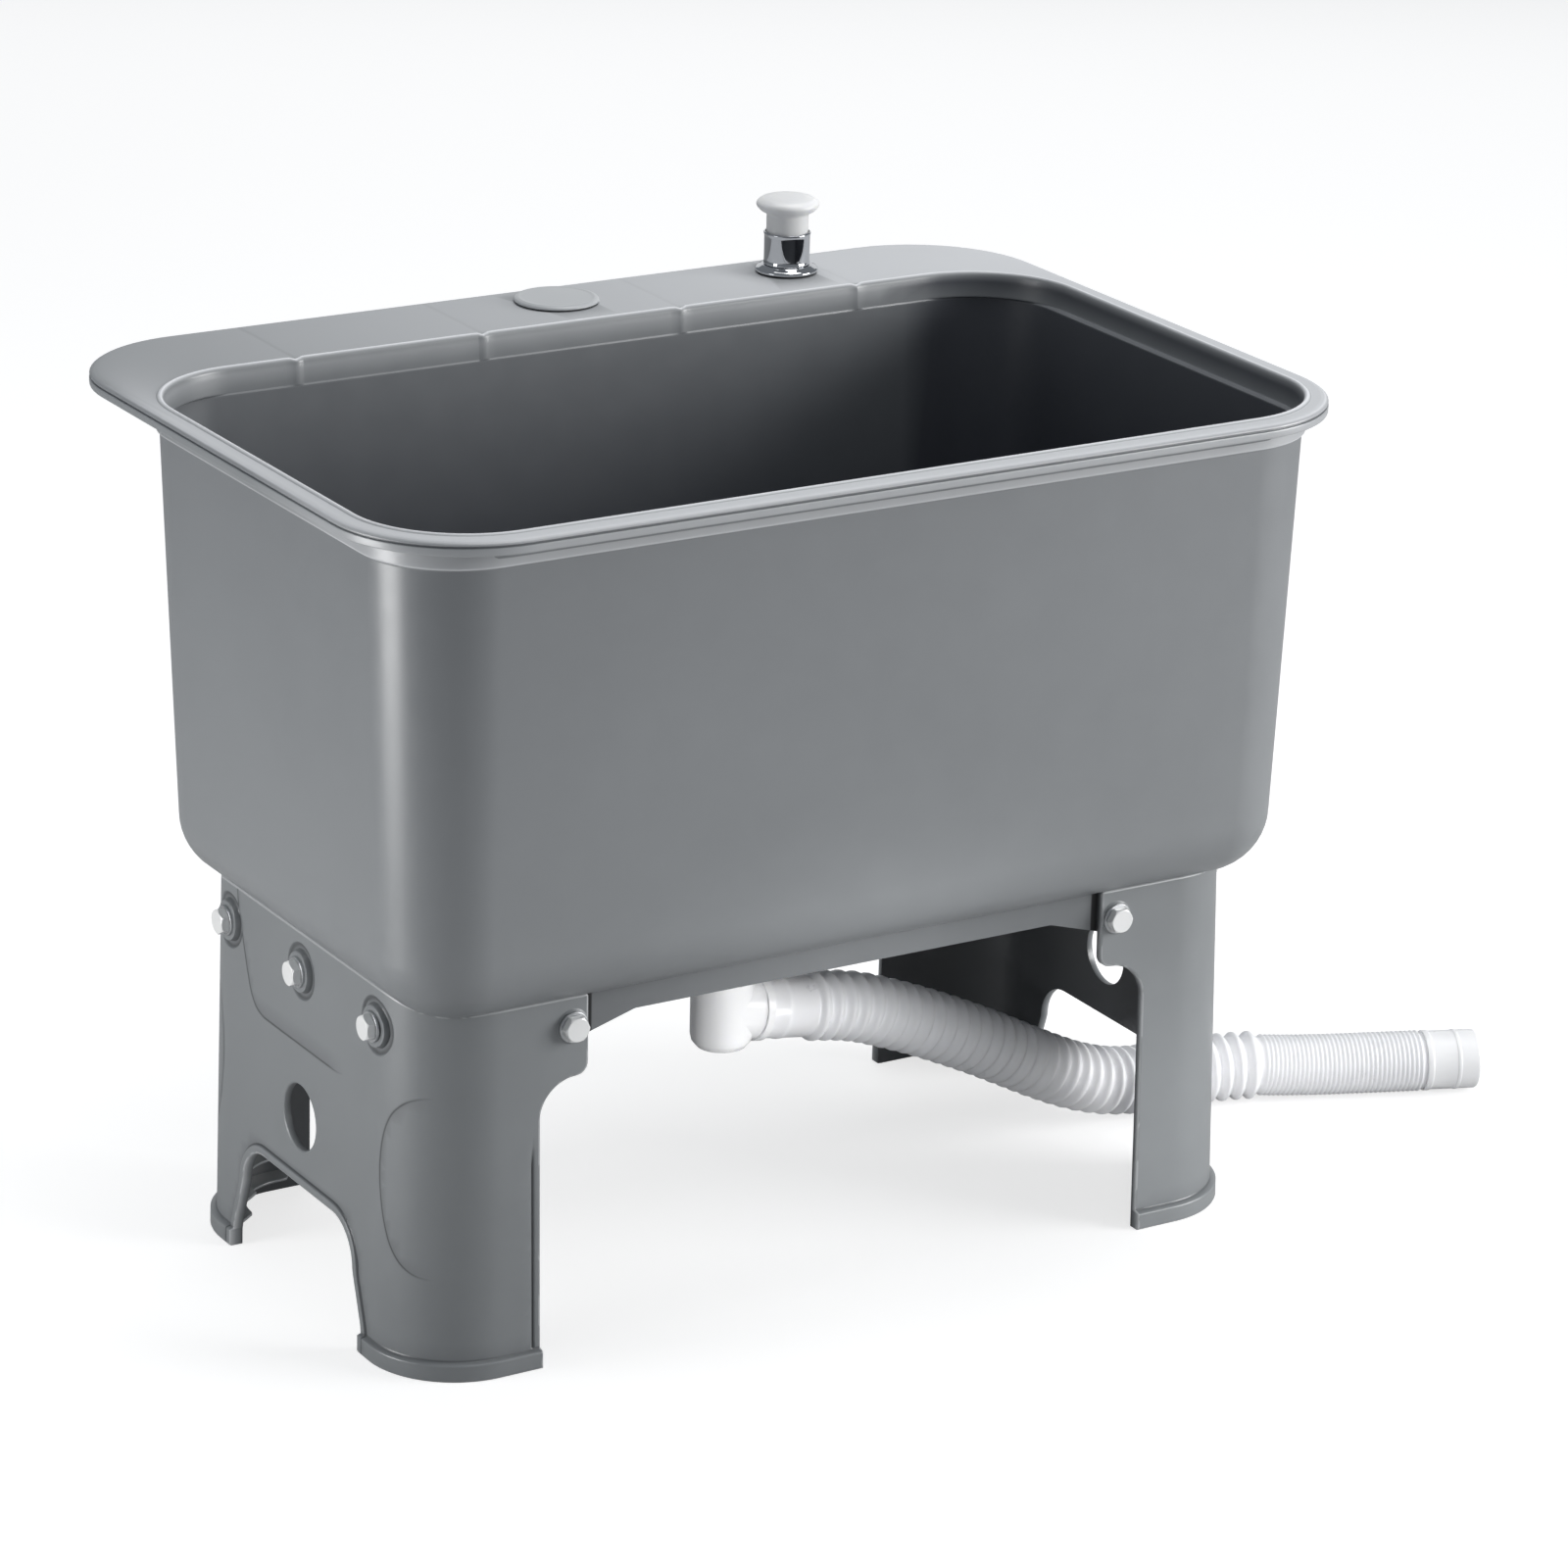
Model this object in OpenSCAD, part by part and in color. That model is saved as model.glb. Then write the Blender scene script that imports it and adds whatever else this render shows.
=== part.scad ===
// Freestanding utility sink: a moulded basin with a rear deck on two moulded leg
// units, joined by two rails, with a waste outlet and a corrugated hose.
// Millimetres. +X runs along the sink, +Y to the back, Z = 0 is the floor.

/* [Rim] */
// Length of the opening at the bead
open_l = 560; // [520:1:600]
// Width of the opening at the bead
open_w = 330; // [310:1:350]
// Corner radius of the opening
open_r = 60; // [50:1:66]
// Reach of the lip past the opening at the front and the ends
lip_w = 13; // [10:0.5:16]
// Depth of the rear deck behind the opening
deck_w = 75; // [66:1:84]
// Height of the turned-down edge
lip_h = 8.5; // [7:0.5:12]
// Thickness of the lip and the deck
plate_t = 3.5; // [3:0.1:5]
// Width of the thin groove round the edge
groove_w = 1; // [0.6:0.1:1.4]

/* [Basin] */
// Depth of the basin, from the rim to its underside
basin_h = 270; // [240:1:300]
// Thickness of walls and bottom
wall_t = 3.2; // [2.6:0.1:4.5]
// Lean of the walls, in degrees
draft_a = 1.95; // [1:0.05:3]
// How far the walls start inside the opening
wall_in = 1.6; // [1:0.1:3]
// Corner radius of the walls, at the top
body_r = 51; // [46:1:58]
// Radius of the bottom edge
edge_r = 35; // [25:1:36]
// How far the walls lie behind the middle of the opening
body_back = 3; // [0:0.5:3]
// Height of the collar band under the rim
collar_h = 20; // [16:1:28]
// How far the collar stands proud of the walls
collar_t = 2; // [1:0.1:3]
// Depth of the inner ledge below the rim
ledge_h = 14.5; // [10:0.5:20]

/* [Deck] */
// Centre of the covered tap hole, along the sink
cap_x = 4; // [-60:1:60]
// Centre of the push control, along the sink
ctl_x = 154; // [120:1:172]
// Distance of both from the opening's back edge
hole_back = 43; // [38:0.5:46]
// Diameter of the tap hole
tap_hole_d = 35; // [28:0.5:36]
// Distance from the middle to the outer ribs under the deck
rib_far = 178; // [176:1:200]
// Distance from the middle to the inner ribs under the deck
rib_near = 63; // [40:1:80]
// Thickness of a rib under the deck
rib_t = 3; // [2:0.1:4]
// Height of a rib under the deck
rib_h = 28; // [20:1:40]

/* [Legs] */
// Height of the basin's underside above the floor
leg_h = 202; // [198:1:216]
// Length over both leg units, at the top
leg_l = 515; // [500:1:520]
// Width of a leg unit, at the top
leg_w = 268; // [262:1:274]
// Splay of the legs, in degrees
splay_a = 1; // [0:0.1:2]
// How far the legs lie behind the middle of the opening
leg_back = 5; // [0:0.5:6]
// Corner radius of a leg unit
leg_r = 48; // [40:1:56]
// Thickness of a leg unit's walls
leg_t = 4; // [3:0.1:5]
// Length of a leg's front and back returns
ret_l = 70; // [62:1:80]
// Reach of the top of a return past its leg
flare_l = 28.5; // [24:0.5:34]
// Height of the flare's lower edge above the floor
flare_z = 159; // [150:1:162]
// Radius in the corner under the flare
flare_r = 22; // [14:1:26]
// Width of the arch at the floor
arch_w = 152; // [140:1:160]
// Width of the arch at its shoulders
arch_top_w = 130; // [110:1:138]
// Height of the arch
arch_h = 66; // [60:1:72]
// Radius of the arch's shoulders
arch_r = 24; // [14:1:30]
// Width of the raised border round the arch
arch_edge_w = 5; // [3:0.5:7]
// How far borders and pads stand proud
pad_t = 1.4; // [0.8:0.1:2]
// Diameter of the round hole in an end panel
hole_d = 36.5; // [30:0.5:40]
// Height of the round hole's centre above the floor
hole_z = 104; // [98:1:110]
// Height of the rim round each foot
foot_h = 10; // [8:0.5:14]
// Reach of the rim round each foot
foot_w = 3.5; // [2:0.5:5]
// Width of the shelves inside each foot
shelf_w = 12; // [8:1:16]

/* [Rails] */
// Height of a rail between the legs
rail_h = 13.5; // [10:0.5:18]
// Depth of a rail
rail_d = 15; // [12:0.5:20]
// Thickness of a rail
rail_t = 3.4; // [2.6:0.1:4.5]
// Overlap of a rail behind a flare
rail_lap = 25.5; // [22:0.5:28]
// Extra height of a rail's ends
rail_drop = 14; // [12:0.5:18]

/* [Bolts] */
// Thread diameter
bolt_d = 8; // [6:0.5:8]
// Width across the flats of heads and nuts
bolt_af = 13; // [11:0.5:14]
// Height of a head
head_h = 4.6; // [3.8:0.1:6.5]
// Height of a nut
nut_h = 6.5; // [5:0.1:8]
// Diameter of a washer
washer_d = 17; // [16:0.5:19]
// Thickness of a washer
washer_t = 1.6; // [1:0.1:2.5]
// Distance between end bolts
bolt_gap = 86; // [80:1:90]
// Distance of the bolts below the basin's underside
bolt_drop = 15; // [14.5:0.5:17]
// Diameter of the groove round an end bolt's seat
moat_d = 31; // [29:0.5:33]
// Depth of that groove
moat_t = 2.4; // [1.5:0.1:2.8]
// Depth of a lug under the basin
lug_d = 18; // [14:0.5:22]
// Width of a lug under the basin
lug_w = 30; // [26:0.5:36]

/* [Tap hole cap] */
// Diameter of the cap
cap_d = 48; // [42:0.5:50]
// Height of the cap
cap_h = 3.2; // [2.6:0.1:5]
// Depth of the cap's skirt
cap_skirt = 9; // [7:0.5:14]
// Thickness of the cap's seal
seal_t = 1; // [0.6:0.1:1.6]

/* [Push control] */
// Diameter of the chrome flange
ctl_flange_d = 36; // [34:0.5:42]
// Height of the chrome flange
ctl_flange_h = 4; // [3:0.5:6]
// Diameter of the chrome body
ctl_body_d = 27; // [26.5:0.5:30]
// Height of the chrome body
ctl_body_h = 16.5; // [15.5:0.5:24]
// Diameter of the threaded shank
shank_d = 20; // [18:0.5:22]
// Length of the shank below the flange
shank_l = 34; // [30:1:44]
// Diameter of the press head
head_d = 36.5; // [34:0.5:42]
// Height of the press head
head_cap_h = 10; // [8:0.5:14]
// Diameter of the head's neck
neck_d = 24; // [22:0.5:24]
// Height of neck that shows at rest
neck_show = 14.5; // [12:0.5:18]
// Travel of the press head
press_travel = 8; // [5:0.5:8]
// Diameter of the stem
stem_d = 8; // [6:0.5:9]

/* [Waste] */
// Diameter of the hole in the basin
waste_hole_d = 52; // [48:0.5:56]
// Diameter of the waste flange
waste_flange_d = 72; // [66:0.5:80]
// Depth of the waste cup
cup_h = 38; // [34:1:42]
// Diameter of the outlet spigot
spigot_d = 32; // [30:0.5:33]
// Diameter of the elbow
elbow_d = 35; // [35:0.5:38]
// Depth of the outlet's centre below the basin's underside
outlet_drop = 84; // [82:0.5:88]
// Fall of the outlet, in degrees
outlet_fall = 9; // [0:0.5:12]
// Length of the outlet from the elbow's upright axis
outlet_l = 24; // [22:0.5:26]
// Depth of the strainer basket
basket_h = 24; // [18:0.5:28]
// Diameter of the basket's drain holes
basket_hole_d = 4; // [3:0.5:5]

/* [Hose] */
// Diameter over the coarse ribs
hose_d = 40; // [38:0.5:40]
// Diameter over the fine ribs
hose_fine_d = 36; // [34:0.5:37]
// Diameter of the hose's plain end
cuff_d = 35; // [34:0.5:36]
// Bore of the hose
hose_bore_d = 29; // [26:0.5:30]
// Length of the plain end at the elbow
cuff_l = 30; // [20:1:36]
// Pitch of the coarse ribs
rib_pitch = 8.8; // [8:0.1:10]
// Pitch of the fine ribs
fine_pitch = 3.9; // [3.6:0.1:4.5]
// Length of hose that has fine ribs
fine_l = 100; // [80:1:110]
// Depth of the coarse ribs
rib_deep = 2.6; // [2:0.1:2.8]
// Depth of the fine ribs
fine_deep = 1.2; // [0.8:0.1:1.6]
// Diameter of the tail
tail_d = 34.6; // [32:0.1:35]
// Length of the tail
tail_l = 32; // [26:0.5:40]

/* [Hidden] */

// Steps in a quarter of a rounded corner, and in a quarter of the bottom edge
corner_n = 10;
edge_n = 6;
$fn = 96;

// Small clearances: between seated parts, round bolts, threads and running fits
seat_gap = 0.3;
bolt_gap_d = 0.4;
thread_gap = 0.05;
run_gap = 0.05;

// Places that follow from the sizes
open_y = (lip_w - deck_w) / 2;
body_y = open_y + body_back;
leg_y = open_y + leg_back;
deck_y = open_y + open_w / 2 + hole_back;
waste_y = leg_y;
outlet_z = leg_h - outlet_drop;
bottom_z = leg_h;
bolt_z = leg_h - bolt_drop;
rim_h = leg_h + basin_h;
floor_z = bottom_z + wall_t;
deck_z = rim_h - 0.8;
under_z = deck_z - plate_t;
ledge_z = rim_h - collar_h;
body_hx = open_l / 2 - wall_in;
body_hy = open_w / 2 - wall_in;
heel_in = (ledge_z - bottom_z - edge_r) * tan(draft_a);
leg_hx = leg_l / 2;
leg_hy = leg_w / 2;
ret_x = leg_hx - ret_l;
flare_x = ret_x - flare_l;
inner_x = leg_hx - leg_t;
rail_top = bottom_z - seat_gap;
rail_bolt_x = flare_x + 9.5;
clear_d = bolt_d + bolt_gap_d;
seat_d = washer_d + 1.5;
end_seat_d = moat_d - 8;
seat_out = (bottom_z - bolt_z) * tan(splay_a) + 0.4;
seat_x = leg_hx + seat_out;
seat_y = leg_hy + seat_out;

// Rounded rectangle at height z, counterclockwise from above
function ring(hx, y0, y1, r, z) = [
    for (q = [0:3]) for (k = [0:corner_n])
        let (a = 90 * q + 90 * k / corner_n,
            cx = (q == 0 || q == 3) ? hx - r : r - hx,
            cy = (q < 2) ? y1 - r : y0 + r)
        [cx + r * cos(a), cy + r * sin(a), z]];

// A ring of the opening, grown by g, with the deck's own growth at the back
function rim_ring(g, back, z) =
    ring(open_l / 2 + g, open_y - open_w / 2 - g, open_y + open_w / 2 + back, open_r + g, z);

// A ring of the walls, drawn in by i
function wall_ring(i, z) =
    ring(body_hx - i, body_y - body_hy + i, body_y + body_hy - i, body_r - i, z);

// How far the walls have leant in at height z
function lean(z) = (ledge_z - z) * tan(draft_a);

// Rings of the rounded bottom edge, t inside the outer face, from wall to bottom
function heel(t, z) = [
    for (k = [0:edge_n]) let (a = 90 * k / edge_n, r = edge_r - t)
        wall_ring(heel_in + t + r * (1 - cos(a)), z + r * (1 - sin(a)))];

function flipped(list) = [for (k = [len(list) - 1:-1:0]) list[k]];

// Solid whose skin runs through the rings, closed by the first and the last; a
// strip has two long sides, so its ends are closed from side to side
module loft(rings, strip = false) {
    m = len(rings[0]);
    n = len(rings);
    ends = strip
        ? [for (j = [0:m / 2 - 2]) [j, j + 1, m - 2 - j, m - 1 - j]]
        : [[for (j = [0:m - 1]) j]];
    points = [for (r = rings) for (p = r) p];
    sides = [for (i = [0:n - 2]) for (j = [0:m - 1])
        let (a = i * m + j, b = i * m + (j + 1) % m) each [[a, a + m, b + m], [a, b + m, b]]];
    polyhedron(points, concat(ends, sides,
        [for (e = ends) [for (j = flipped(e)) (n - 1) * m + j]]), convexity = 8);
}

// Outside of the basin, upwards, then over the lip and down the inside
module basin_shell() {
    low = rim_h - lip_h;
    groove = deck_z - plate_t;
    g_in = lip_w - 1.2;
    d_in = deck_w - 1.2;
    outside = concat(flipped(heel(0, bottom_z)), [
        wall_ring(0, ledge_z),
        wall_ring(-collar_t, ledge_z + 0.6),
        wall_ring(-collar_t, under_z)]);
    lip = [
        rim_ring(lip_w - 3, deck_w - 3, under_z),
        rim_ring(lip_w - 2.6, deck_w - 2.6, low),
        rim_ring(lip_w - 0.4, deck_w - 0.4, low),
        rim_ring(lip_w, deck_w, low + 0.6),
        rim_ring(lip_w, deck_w, groove),
        rim_ring(g_in, d_in, groove),
        rim_ring(g_in, d_in, groove + groove_w),
        rim_ring(lip_w, deck_w, groove + groove_w),
        rim_ring(lip_w - 0.5, deck_w - 0.5, deck_z - 1.2),
        rim_ring(lip_w - 1.6, deck_w - 1.6, deck_z - 0.3),
        rim_ring(lip_w - 3, deck_w - 3, deck_z),
        rim_ring(4, 4, deck_z),
        rim_ring(2.6, 2.6, rim_h - 0.2),
        rim_ring(1.6, 1.6, rim_h),
        rim_ring(0.6, 0.6, rim_h - 0.3),
        rim_ring(0, 0, rim_h - 1.2)];
    inside = concat([
        rim_ring(-0.8, -0.8, rim_h - 4.4),
        rim_ring(-1.2, -1.2, rim_h - ledge_h),
        wall_ring(wall_t, rim_h - ledge_h - 0.8)], heel(wall_t, bottom_z + wall_t));
    loft(concat(outside, lip, inside));
}

// The lugs that the end bolts pull against, hung from the bottom edge
module lugs() {
    x0 = inner_x - seat_gap - lug_d;
    x1 = inner_x - seat_gap;
    cx = body_hx - heel_in - edge_r;
    cz = bottom_z + edge_r;
    mid = edge_r - wall_t / 2;
    lug_low = bolt_z - 15;
    tops = [for (k = [0:4]) let (x = x1 + (x0 - x1) * k / 4)
        [x, cz - sqrt(max(0, mid * mid - pow(max(0, x - cx), 2)))]];
    for (sx = [0, 1])
        mirror([sx, 0, 0])
            intersection() {
                for (k = [-1:1])
                    translate([0, leg_y + k * bolt_gap + lug_w / 2, 0])
                        rotate([90, 0, 0])
                            linear_extrude(lug_w)
                                polygon(concat([[x0, lug_low], [x1, lug_low]], tops));
                translate([0, leg_y, lug_low - 1])
                    linear_extrude(edge_r + 20)
                        polygon(leg_path(0, x1, leg_hy - leg_t - seat_gap, leg_r - leg_t - seat_gap));
            }
}

// Gussets between the back wall and the deck
module deck_ribs() {
    y0 = body_y + body_hy + collar_t - 1;
    y1 = open_y + open_w / 2 + deck_w - 2.8;
    z1 = under_z + 1;
    for (x = [-rib_far, -rib_near, rib_near, rib_far])
        translate([x - rib_t / 2, 0, 0])
            rotate([90, 0, 90])
                linear_extrude(rib_t)
                    polygon([[y0 - 2, z1], [y1, z1], [y1, z1 - 4], [y0 + 2, z1 - rib_h],
                        [y0 - 2 - lean(z1 - rib_h), z1 - rib_h],
                        [y0 - 3, ledge_z - 1], [y0 - 1, ledge_z + 1]]);
}

module basin() {
    color([0.53, 0.55, 0.56])
        difference() {
            union() {
                basin_shell();
                lugs();
                deck_ribs();
            }
            translate([cap_x, deck_y, under_z - 5])
                cylinder(d = tap_hole_d, h = plate_t + 10);
            translate([ctl_x, deck_y, under_z - 5])
                cylinder(d = shank_d + 2, h = plate_t + 10);
            translate([0, waste_y, bottom_z - 5])
                cylinder(d = waste_hole_d, h = wall_t + 10);
            for (sx = [-1, 1], k = [-1:1])
                translate([sx * (inner_x - lug_d / 2), leg_y + k * bolt_gap, bolt_z])
                    rotate([0, 90, 0])
                        cylinder(d = clear_d, h = lug_d + 6, center = true);
        }
}

// What the rounded bottom of the basin takes up, with a clearance
module pan(gap) {
    loft(concat(flipped(heel(-gap, bottom_z - gap)), [wall_ring(-gap, ledge_z)]));
}

// Path round one leg unit in plan, from the front return's edge to the back one's
function leg_path(x0, hx, hy, r) = concat([[x0, -hy]],
    [for (k = [0:corner_n]) let (a = 90 * k / corner_n - 90) [hx - r + r * cos(a), r - hy + r * sin(a)]],
    [for (k = [0:corner_n]) let (a = 90 * k / corner_n) [hx - r + r * cos(a), hy - r + r * sin(a)]],
    [[x0, hy]]);

// Ring at height z: outer face grown by g, inner face t inside the plain outer face
function leg_ring(x0, g, t, z) =
    let (s = (bottom_z - z) * tan(splay_a), hx = leg_hx + s, hy = leg_hy + s)
    [for (p = concat(leg_path(x0, hx + g, hy + g, leg_r + g),
        flipped(leg_path(x0, hx - t, hy - t, leg_r - t)))) [p[0], leg_y + p[1], z]];

// U-shaped wall of a right-hand leg unit between two heights
module leg_wall(x0, g, t, z0, z1) {
    loft([leg_ring(x0, g, t, z0), leg_ring(x0, g, t, z1)], strip = true);
}

// Outline of the arch, grown by g: straight sides, round shoulders
function arch_points(g) =
    let (r = arch_r + g, w0 = arch_w / 2 + g, w1 = arch_top_w / 2 + g, h = arch_h + g,
        side = [for (k = [0:6]) let (a = 82 * k / 6 + 8) [w1 - r + r * cos(a - 8), h - r + r * sin(a - 8)]],
        top = [[w1 - r, h]])
    concat([[w0, -5], [w0, 12]], side, top,
        [for (p = flipped(concat(side, top))) [-p[0], p[1]]], [[-w0, 12], [-w0, -5]]);

// Shape in the YZ plane, pushed through an end panel from x0 over length l
module through_end(x0, l) {
    translate([x0, leg_y, 0])
        rotate([90, 0, 90])
            linear_extrude(l)
                children();
}

// Raised field round the three bolts: slanted sides, level bottom
module bolt_field() {
    half = [[43, 57], [52, 55], [59, 48], [64, 36], [72, 14], [76, 2], [79, -13]];
    polygon([for (p = concat(half, [for (q = flipped(half)) [-q[0], q[1]]])) [p[0], bottom_z - p[1]]]);
}

// Raised D beside each corner
module corner_field() {
    edge = [[10, 40], [18, 41], [28, 45], [37, 53], [43, 64], [48, 78],
        [49, 90], [48, 102], [44, 118], [37, 132], [28, 141], [18, 146], [10, 147]];
    for (s = [-1, 1])
        polygon([for (p = edge) [s * (leg_hy - p[0]), bottom_z - p[1]]]);
}

// Cuts that leave the returns narrow below the flare
module below_flare() {
    l = flare_l + 20;
    translate([ret_x - l, leg_y + leg_hy + 20, 0])
        rotate([90, 0, 0])
            linear_extrude(leg_w + 40)
                difference() {
                    translate([0, -5])
                        square([l, flare_z + 5]);
                    translate([l - flare_r, flare_z - flare_r])
                        difference() {
                            square(flare_r + 1);
                            circle(r = flare_r);
                        }
                }
}

// Round corner at the free tip of each flare
module flare_tips() {
    r = 7;
    translate([flare_x, leg_y + leg_hy + 20, flare_z])
        rotate([90, 0, 0])
            linear_extrude(leg_w + 40)
                difference() {
                    translate([-1, -1])
                        square(r + 1);
                    translate([r, r])
                        circle(r = r);
                }
}

// Seats of the bolts: round pads whose faces are square to the bolts
module bolt_seats() {
    for (k = [-1:1])
        translate([leg_hx - leg_t + 1, leg_y + k * bolt_gap, bolt_z])
            rotate([0, 90, 0])
                cylinder(d = end_seat_d, h = seat_out + pad_t + leg_t - 1);
    for (s = [-1, 1])
        translate([rail_bolt_x, leg_y + s * (leg_hy - leg_t + 1), bolt_z])
            rotate([-s * 90, 0, 0])
                cylinder(d = seat_d, h = seat_out + leg_t - 1);
}

module leg_bolt_holes() {
    for (k = [-1:1])
        translate([leg_hx - 20, leg_y + k * bolt_gap, bolt_z])
            rotate([0, 90, 0])
                cylinder(d = clear_d, h = 40);
    for (s = [-1, 1])
        translate([rail_bolt_x, leg_y + s * leg_hy, bolt_z])
            rotate([90, 0, 0])
                cylinder(d = clear_d, h = 40, center = true);
}

// Wall, foot rim, inner shelves and raised fields, before anything is cut
module leg_blank() {
    leg_wall(flare_x, 0, leg_t, 0, bottom_z + 12);
    leg_wall(ret_x - 1, foot_w, leg_t / 2, 0, foot_h);
    for (z = [foot_h, foot_h + 14])
        leg_wall(ret_x - 1, -leg_t / 2, leg_t + shelf_w, z, z + 2);
    intersection() {
        leg_wall(ret_x, pad_t, leg_t / 2, 0.5, bottom_z + 12);
        through_end(leg_hx - leg_r + 8, leg_r + 20) {
            bolt_field();
            corner_field();
            polygon(arch_points(arch_edge_w));
        }
    }
}

module right_leg() {
    difference() {
        union() {
            difference() {
                leg_blank();
                pan(seat_gap);
                below_flare();
                flare_tips();
                through_end(inner_x - shelf_w - 30, leg_t + shelf_w + 50)
                    polygon(arch_points(0));
                through_end(inner_x - 10, leg_t + 20)
                    translate([0, hole_z])
                        circle(d = hole_d);
                for (k = [-1:1])
                    translate([leg_hx + pad_t - moat_t, leg_y + k * bolt_gap, bolt_z])
                        rotate([0, 90, 0])
                            cylinder(d = moat_d, h = 20);
            }
            bolt_seats();
        }
        leg_bolt_holes();
    }
}

module right_leg_panel() {
    color([0.51, 0.53, 0.54])
        right_leg();
}

module left_leg_panel() {
    color([0.51, 0.53, 0.54])
        mirror([1, 0, 0])
            right_leg();
}

// One rail, its web on the side of the leg's return; s is -1 in front, 1 behind
module rail(s) {
    half = flare_x + rail_lap;
    low = rail_top - rail_h;
    tip = low - rail_drop;
    face = leg_y + s * (leg_hy - leg_t - seat_gap);
    web = [[-half, rail_top], [half, rail_top], [half, tip], [flare_x + 2, tip + 4.5],
        [flare_x - 30, low], [30 - flare_x, low], [-flare_x - 2, tip + 4.5], [-half, tip]];
    difference() {
        union() {
            translate([0, face + (s < 0 ? rail_t : 0), 0])
                rotate([90, 0, 0])
                    linear_extrude(rail_t)
                        polygon(web);
            translate([-half, s < 0 ? face : face - rail_d, rail_top - rail_t])
                cube([2 * half, rail_d, rail_t]);
            translate([30 - flare_x, s < 0 ? face : face - rail_d / 2, low])
                cube([2 * (flare_x - 30), rail_d / 2, 2]);
        }
        for (sx = [-1, 1])
            translate([sx * rail_bolt_x, face, bolt_z])
                rotate([90, 0, 0])
                    cylinder(d = clear_d, h = 4 * rail_t, center = true);
    }
}

module front_rail() {
    color([0.50, 0.52, 0.53])
        rail(-1);
}

module back_rail() {
    color([0.50, 0.52, 0.53])
        rail(1);
}

// Hexagon prism along +Z
module hexagon(af, h) {
    linear_extrude(h)
        circle(d = af / cos(30), $fn = 6);
}

// Hex bolt whose head seats at z = 0 and whose shank runs to -Z
module hex_bolt(l) {
    intersection() {
        hexagon(bolt_af, head_h);
        cylinder(d1 = bolt_af / cos(30) + 8, d2 = bolt_af * 0.97, h = head_h);
    }
    translate([0, 0, -l])
        cylinder(d = bolt_d, h = l + 0.5);
}

module hex_nut() {
    difference() {
        hexagon(bolt_af, nut_h);
        translate([0, 0, -1])
            cylinder(d = bolt_d + 2 * thread_gap, h = nut_h + 2);
    }
}

module flat_washer() {
    difference() {
        cylinder(d = washer_d, h = washer_t);
        translate([0, 0, -1])
            cylinder(d = clear_d, h = washer_t + 2);
    }
}

// Places at an end panel: +Z runs outwards from x
module at_end_bolts(sx, x) {
    for (k = [-1:1])
        translate([sx * x, leg_y + k * bolt_gap, bolt_z])
            rotate([0, sx * 90, 0])
                children();
}

// Places at the flares: +Z runs outwards, y from the middle of the legs
module at_rail_bolts(sy, y) {
    for (sx = [-1, 1])
        translate([sx * rail_bolt_x, leg_y + sy * y, bolt_z])
            rotate([-sy * 90, 0, 0])
                children();
}

end_bolt_l = seat_out + pad_t + leg_t + seat_gap + lug_d + nut_h + washer_t + 2;
rail_bolt_l = seat_out + leg_t + seat_gap + rail_t + nut_h + washer_t + 2;

module left_end_bolts() {
    color([0.80, 0.80, 0.78])
        at_end_bolts(-1, seat_x + pad_t + washer_t)
            hex_bolt(end_bolt_l);
}

module right_end_bolts() {
    color([0.80, 0.80, 0.78])
        at_end_bolts(1, seat_x + pad_t + washer_t)
            hex_bolt(end_bolt_l);
}

module front_rail_bolts() {
    color([0.80, 0.80, 0.78])
        at_rail_bolts(-1, seat_y + washer_t)
            hex_bolt(rail_bolt_l);
}

module back_rail_bolts() {
    color([0.80, 0.80, 0.78])
        at_rail_bolts(1, seat_y + washer_t)
            hex_bolt(rail_bolt_l);
}

module end_bolt_washers() {
    color([0.72, 0.73, 0.74])
        for (sx = [-1, 1])
            at_end_bolts(sx, seat_x + pad_t)
                flat_washer();
}

module rail_bolt_washers() {
    color([0.72, 0.73, 0.74])
        for (sy = [-1, 1])
            at_rail_bolts(sy, seat_y)
                flat_washer();
}

module end_bolt_nuts() {
    color([0.72, 0.73, 0.74])
        for (sx = [-1, 1])
            at_end_bolts(sx, inner_x - seat_gap - lug_d - nut_h)
                hex_nut();
}

module rail_bolt_nuts() {
    color([0.72, 0.73, 0.74])
        for (sy = [-1, 1])
            at_rail_bolts(sy, leg_hy - leg_t - seat_gap - rail_t - nut_h)
                hex_nut();
}

// Plain ring, z upwards from 0
module ring_disc(d_out, d_in, h) {
    difference() {
        cylinder(d = d_out, h = h);
        translate([0, 0, -1])
            cylinder(d = d_in, h = h + 2);
    }
}

module tap_hole_cap() {
    r = cap_d / 2;
    plug_r = tap_hole_d / 2 - 0.4;
    color([0.56, 0.58, 0.59])
        translate([cap_x, deck_y, deck_z + seal_t])
            rotate_extrude()
                polygon([[0, 0], [plug_r - 2, 0], [plug_r - 2, -cap_skirt], [plug_r - 0.8, -cap_skirt],
                    [plug_r, -cap_skirt + 1.5], [plug_r, 0], [r, 0], [r, cap_h * 0.35],
                    [r - 0.7, cap_h * 0.7], [r - 2.2, cap_h * 0.88], [r * 0.6, cap_h * 0.97], [0, cap_h]]);
}

module cap_seal() {
    color([0.15, 0.15, 0.16])
        translate([cap_x, deck_y, deck_z])
            ring_disc(cap_d - 3, tap_hole_d + 1, seal_t);
}

ctl_z = deck_z + seal_t;
ctl_top = ctl_z + ctl_flange_h + ctl_body_h;
well_z = ctl_z + ctl_flange_h + 2.3;
bush_h = 12;
bush_d = 14;
clip_z = well_z + 1 - bush_h - 1.4;

module control_gasket() {
    color([0.14, 0.14, 0.15])
        translate([ctl_x, deck_y, deck_z])
            ring_disc(ctl_flange_d - 2, shank_d + 1, seal_t);
}

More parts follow.
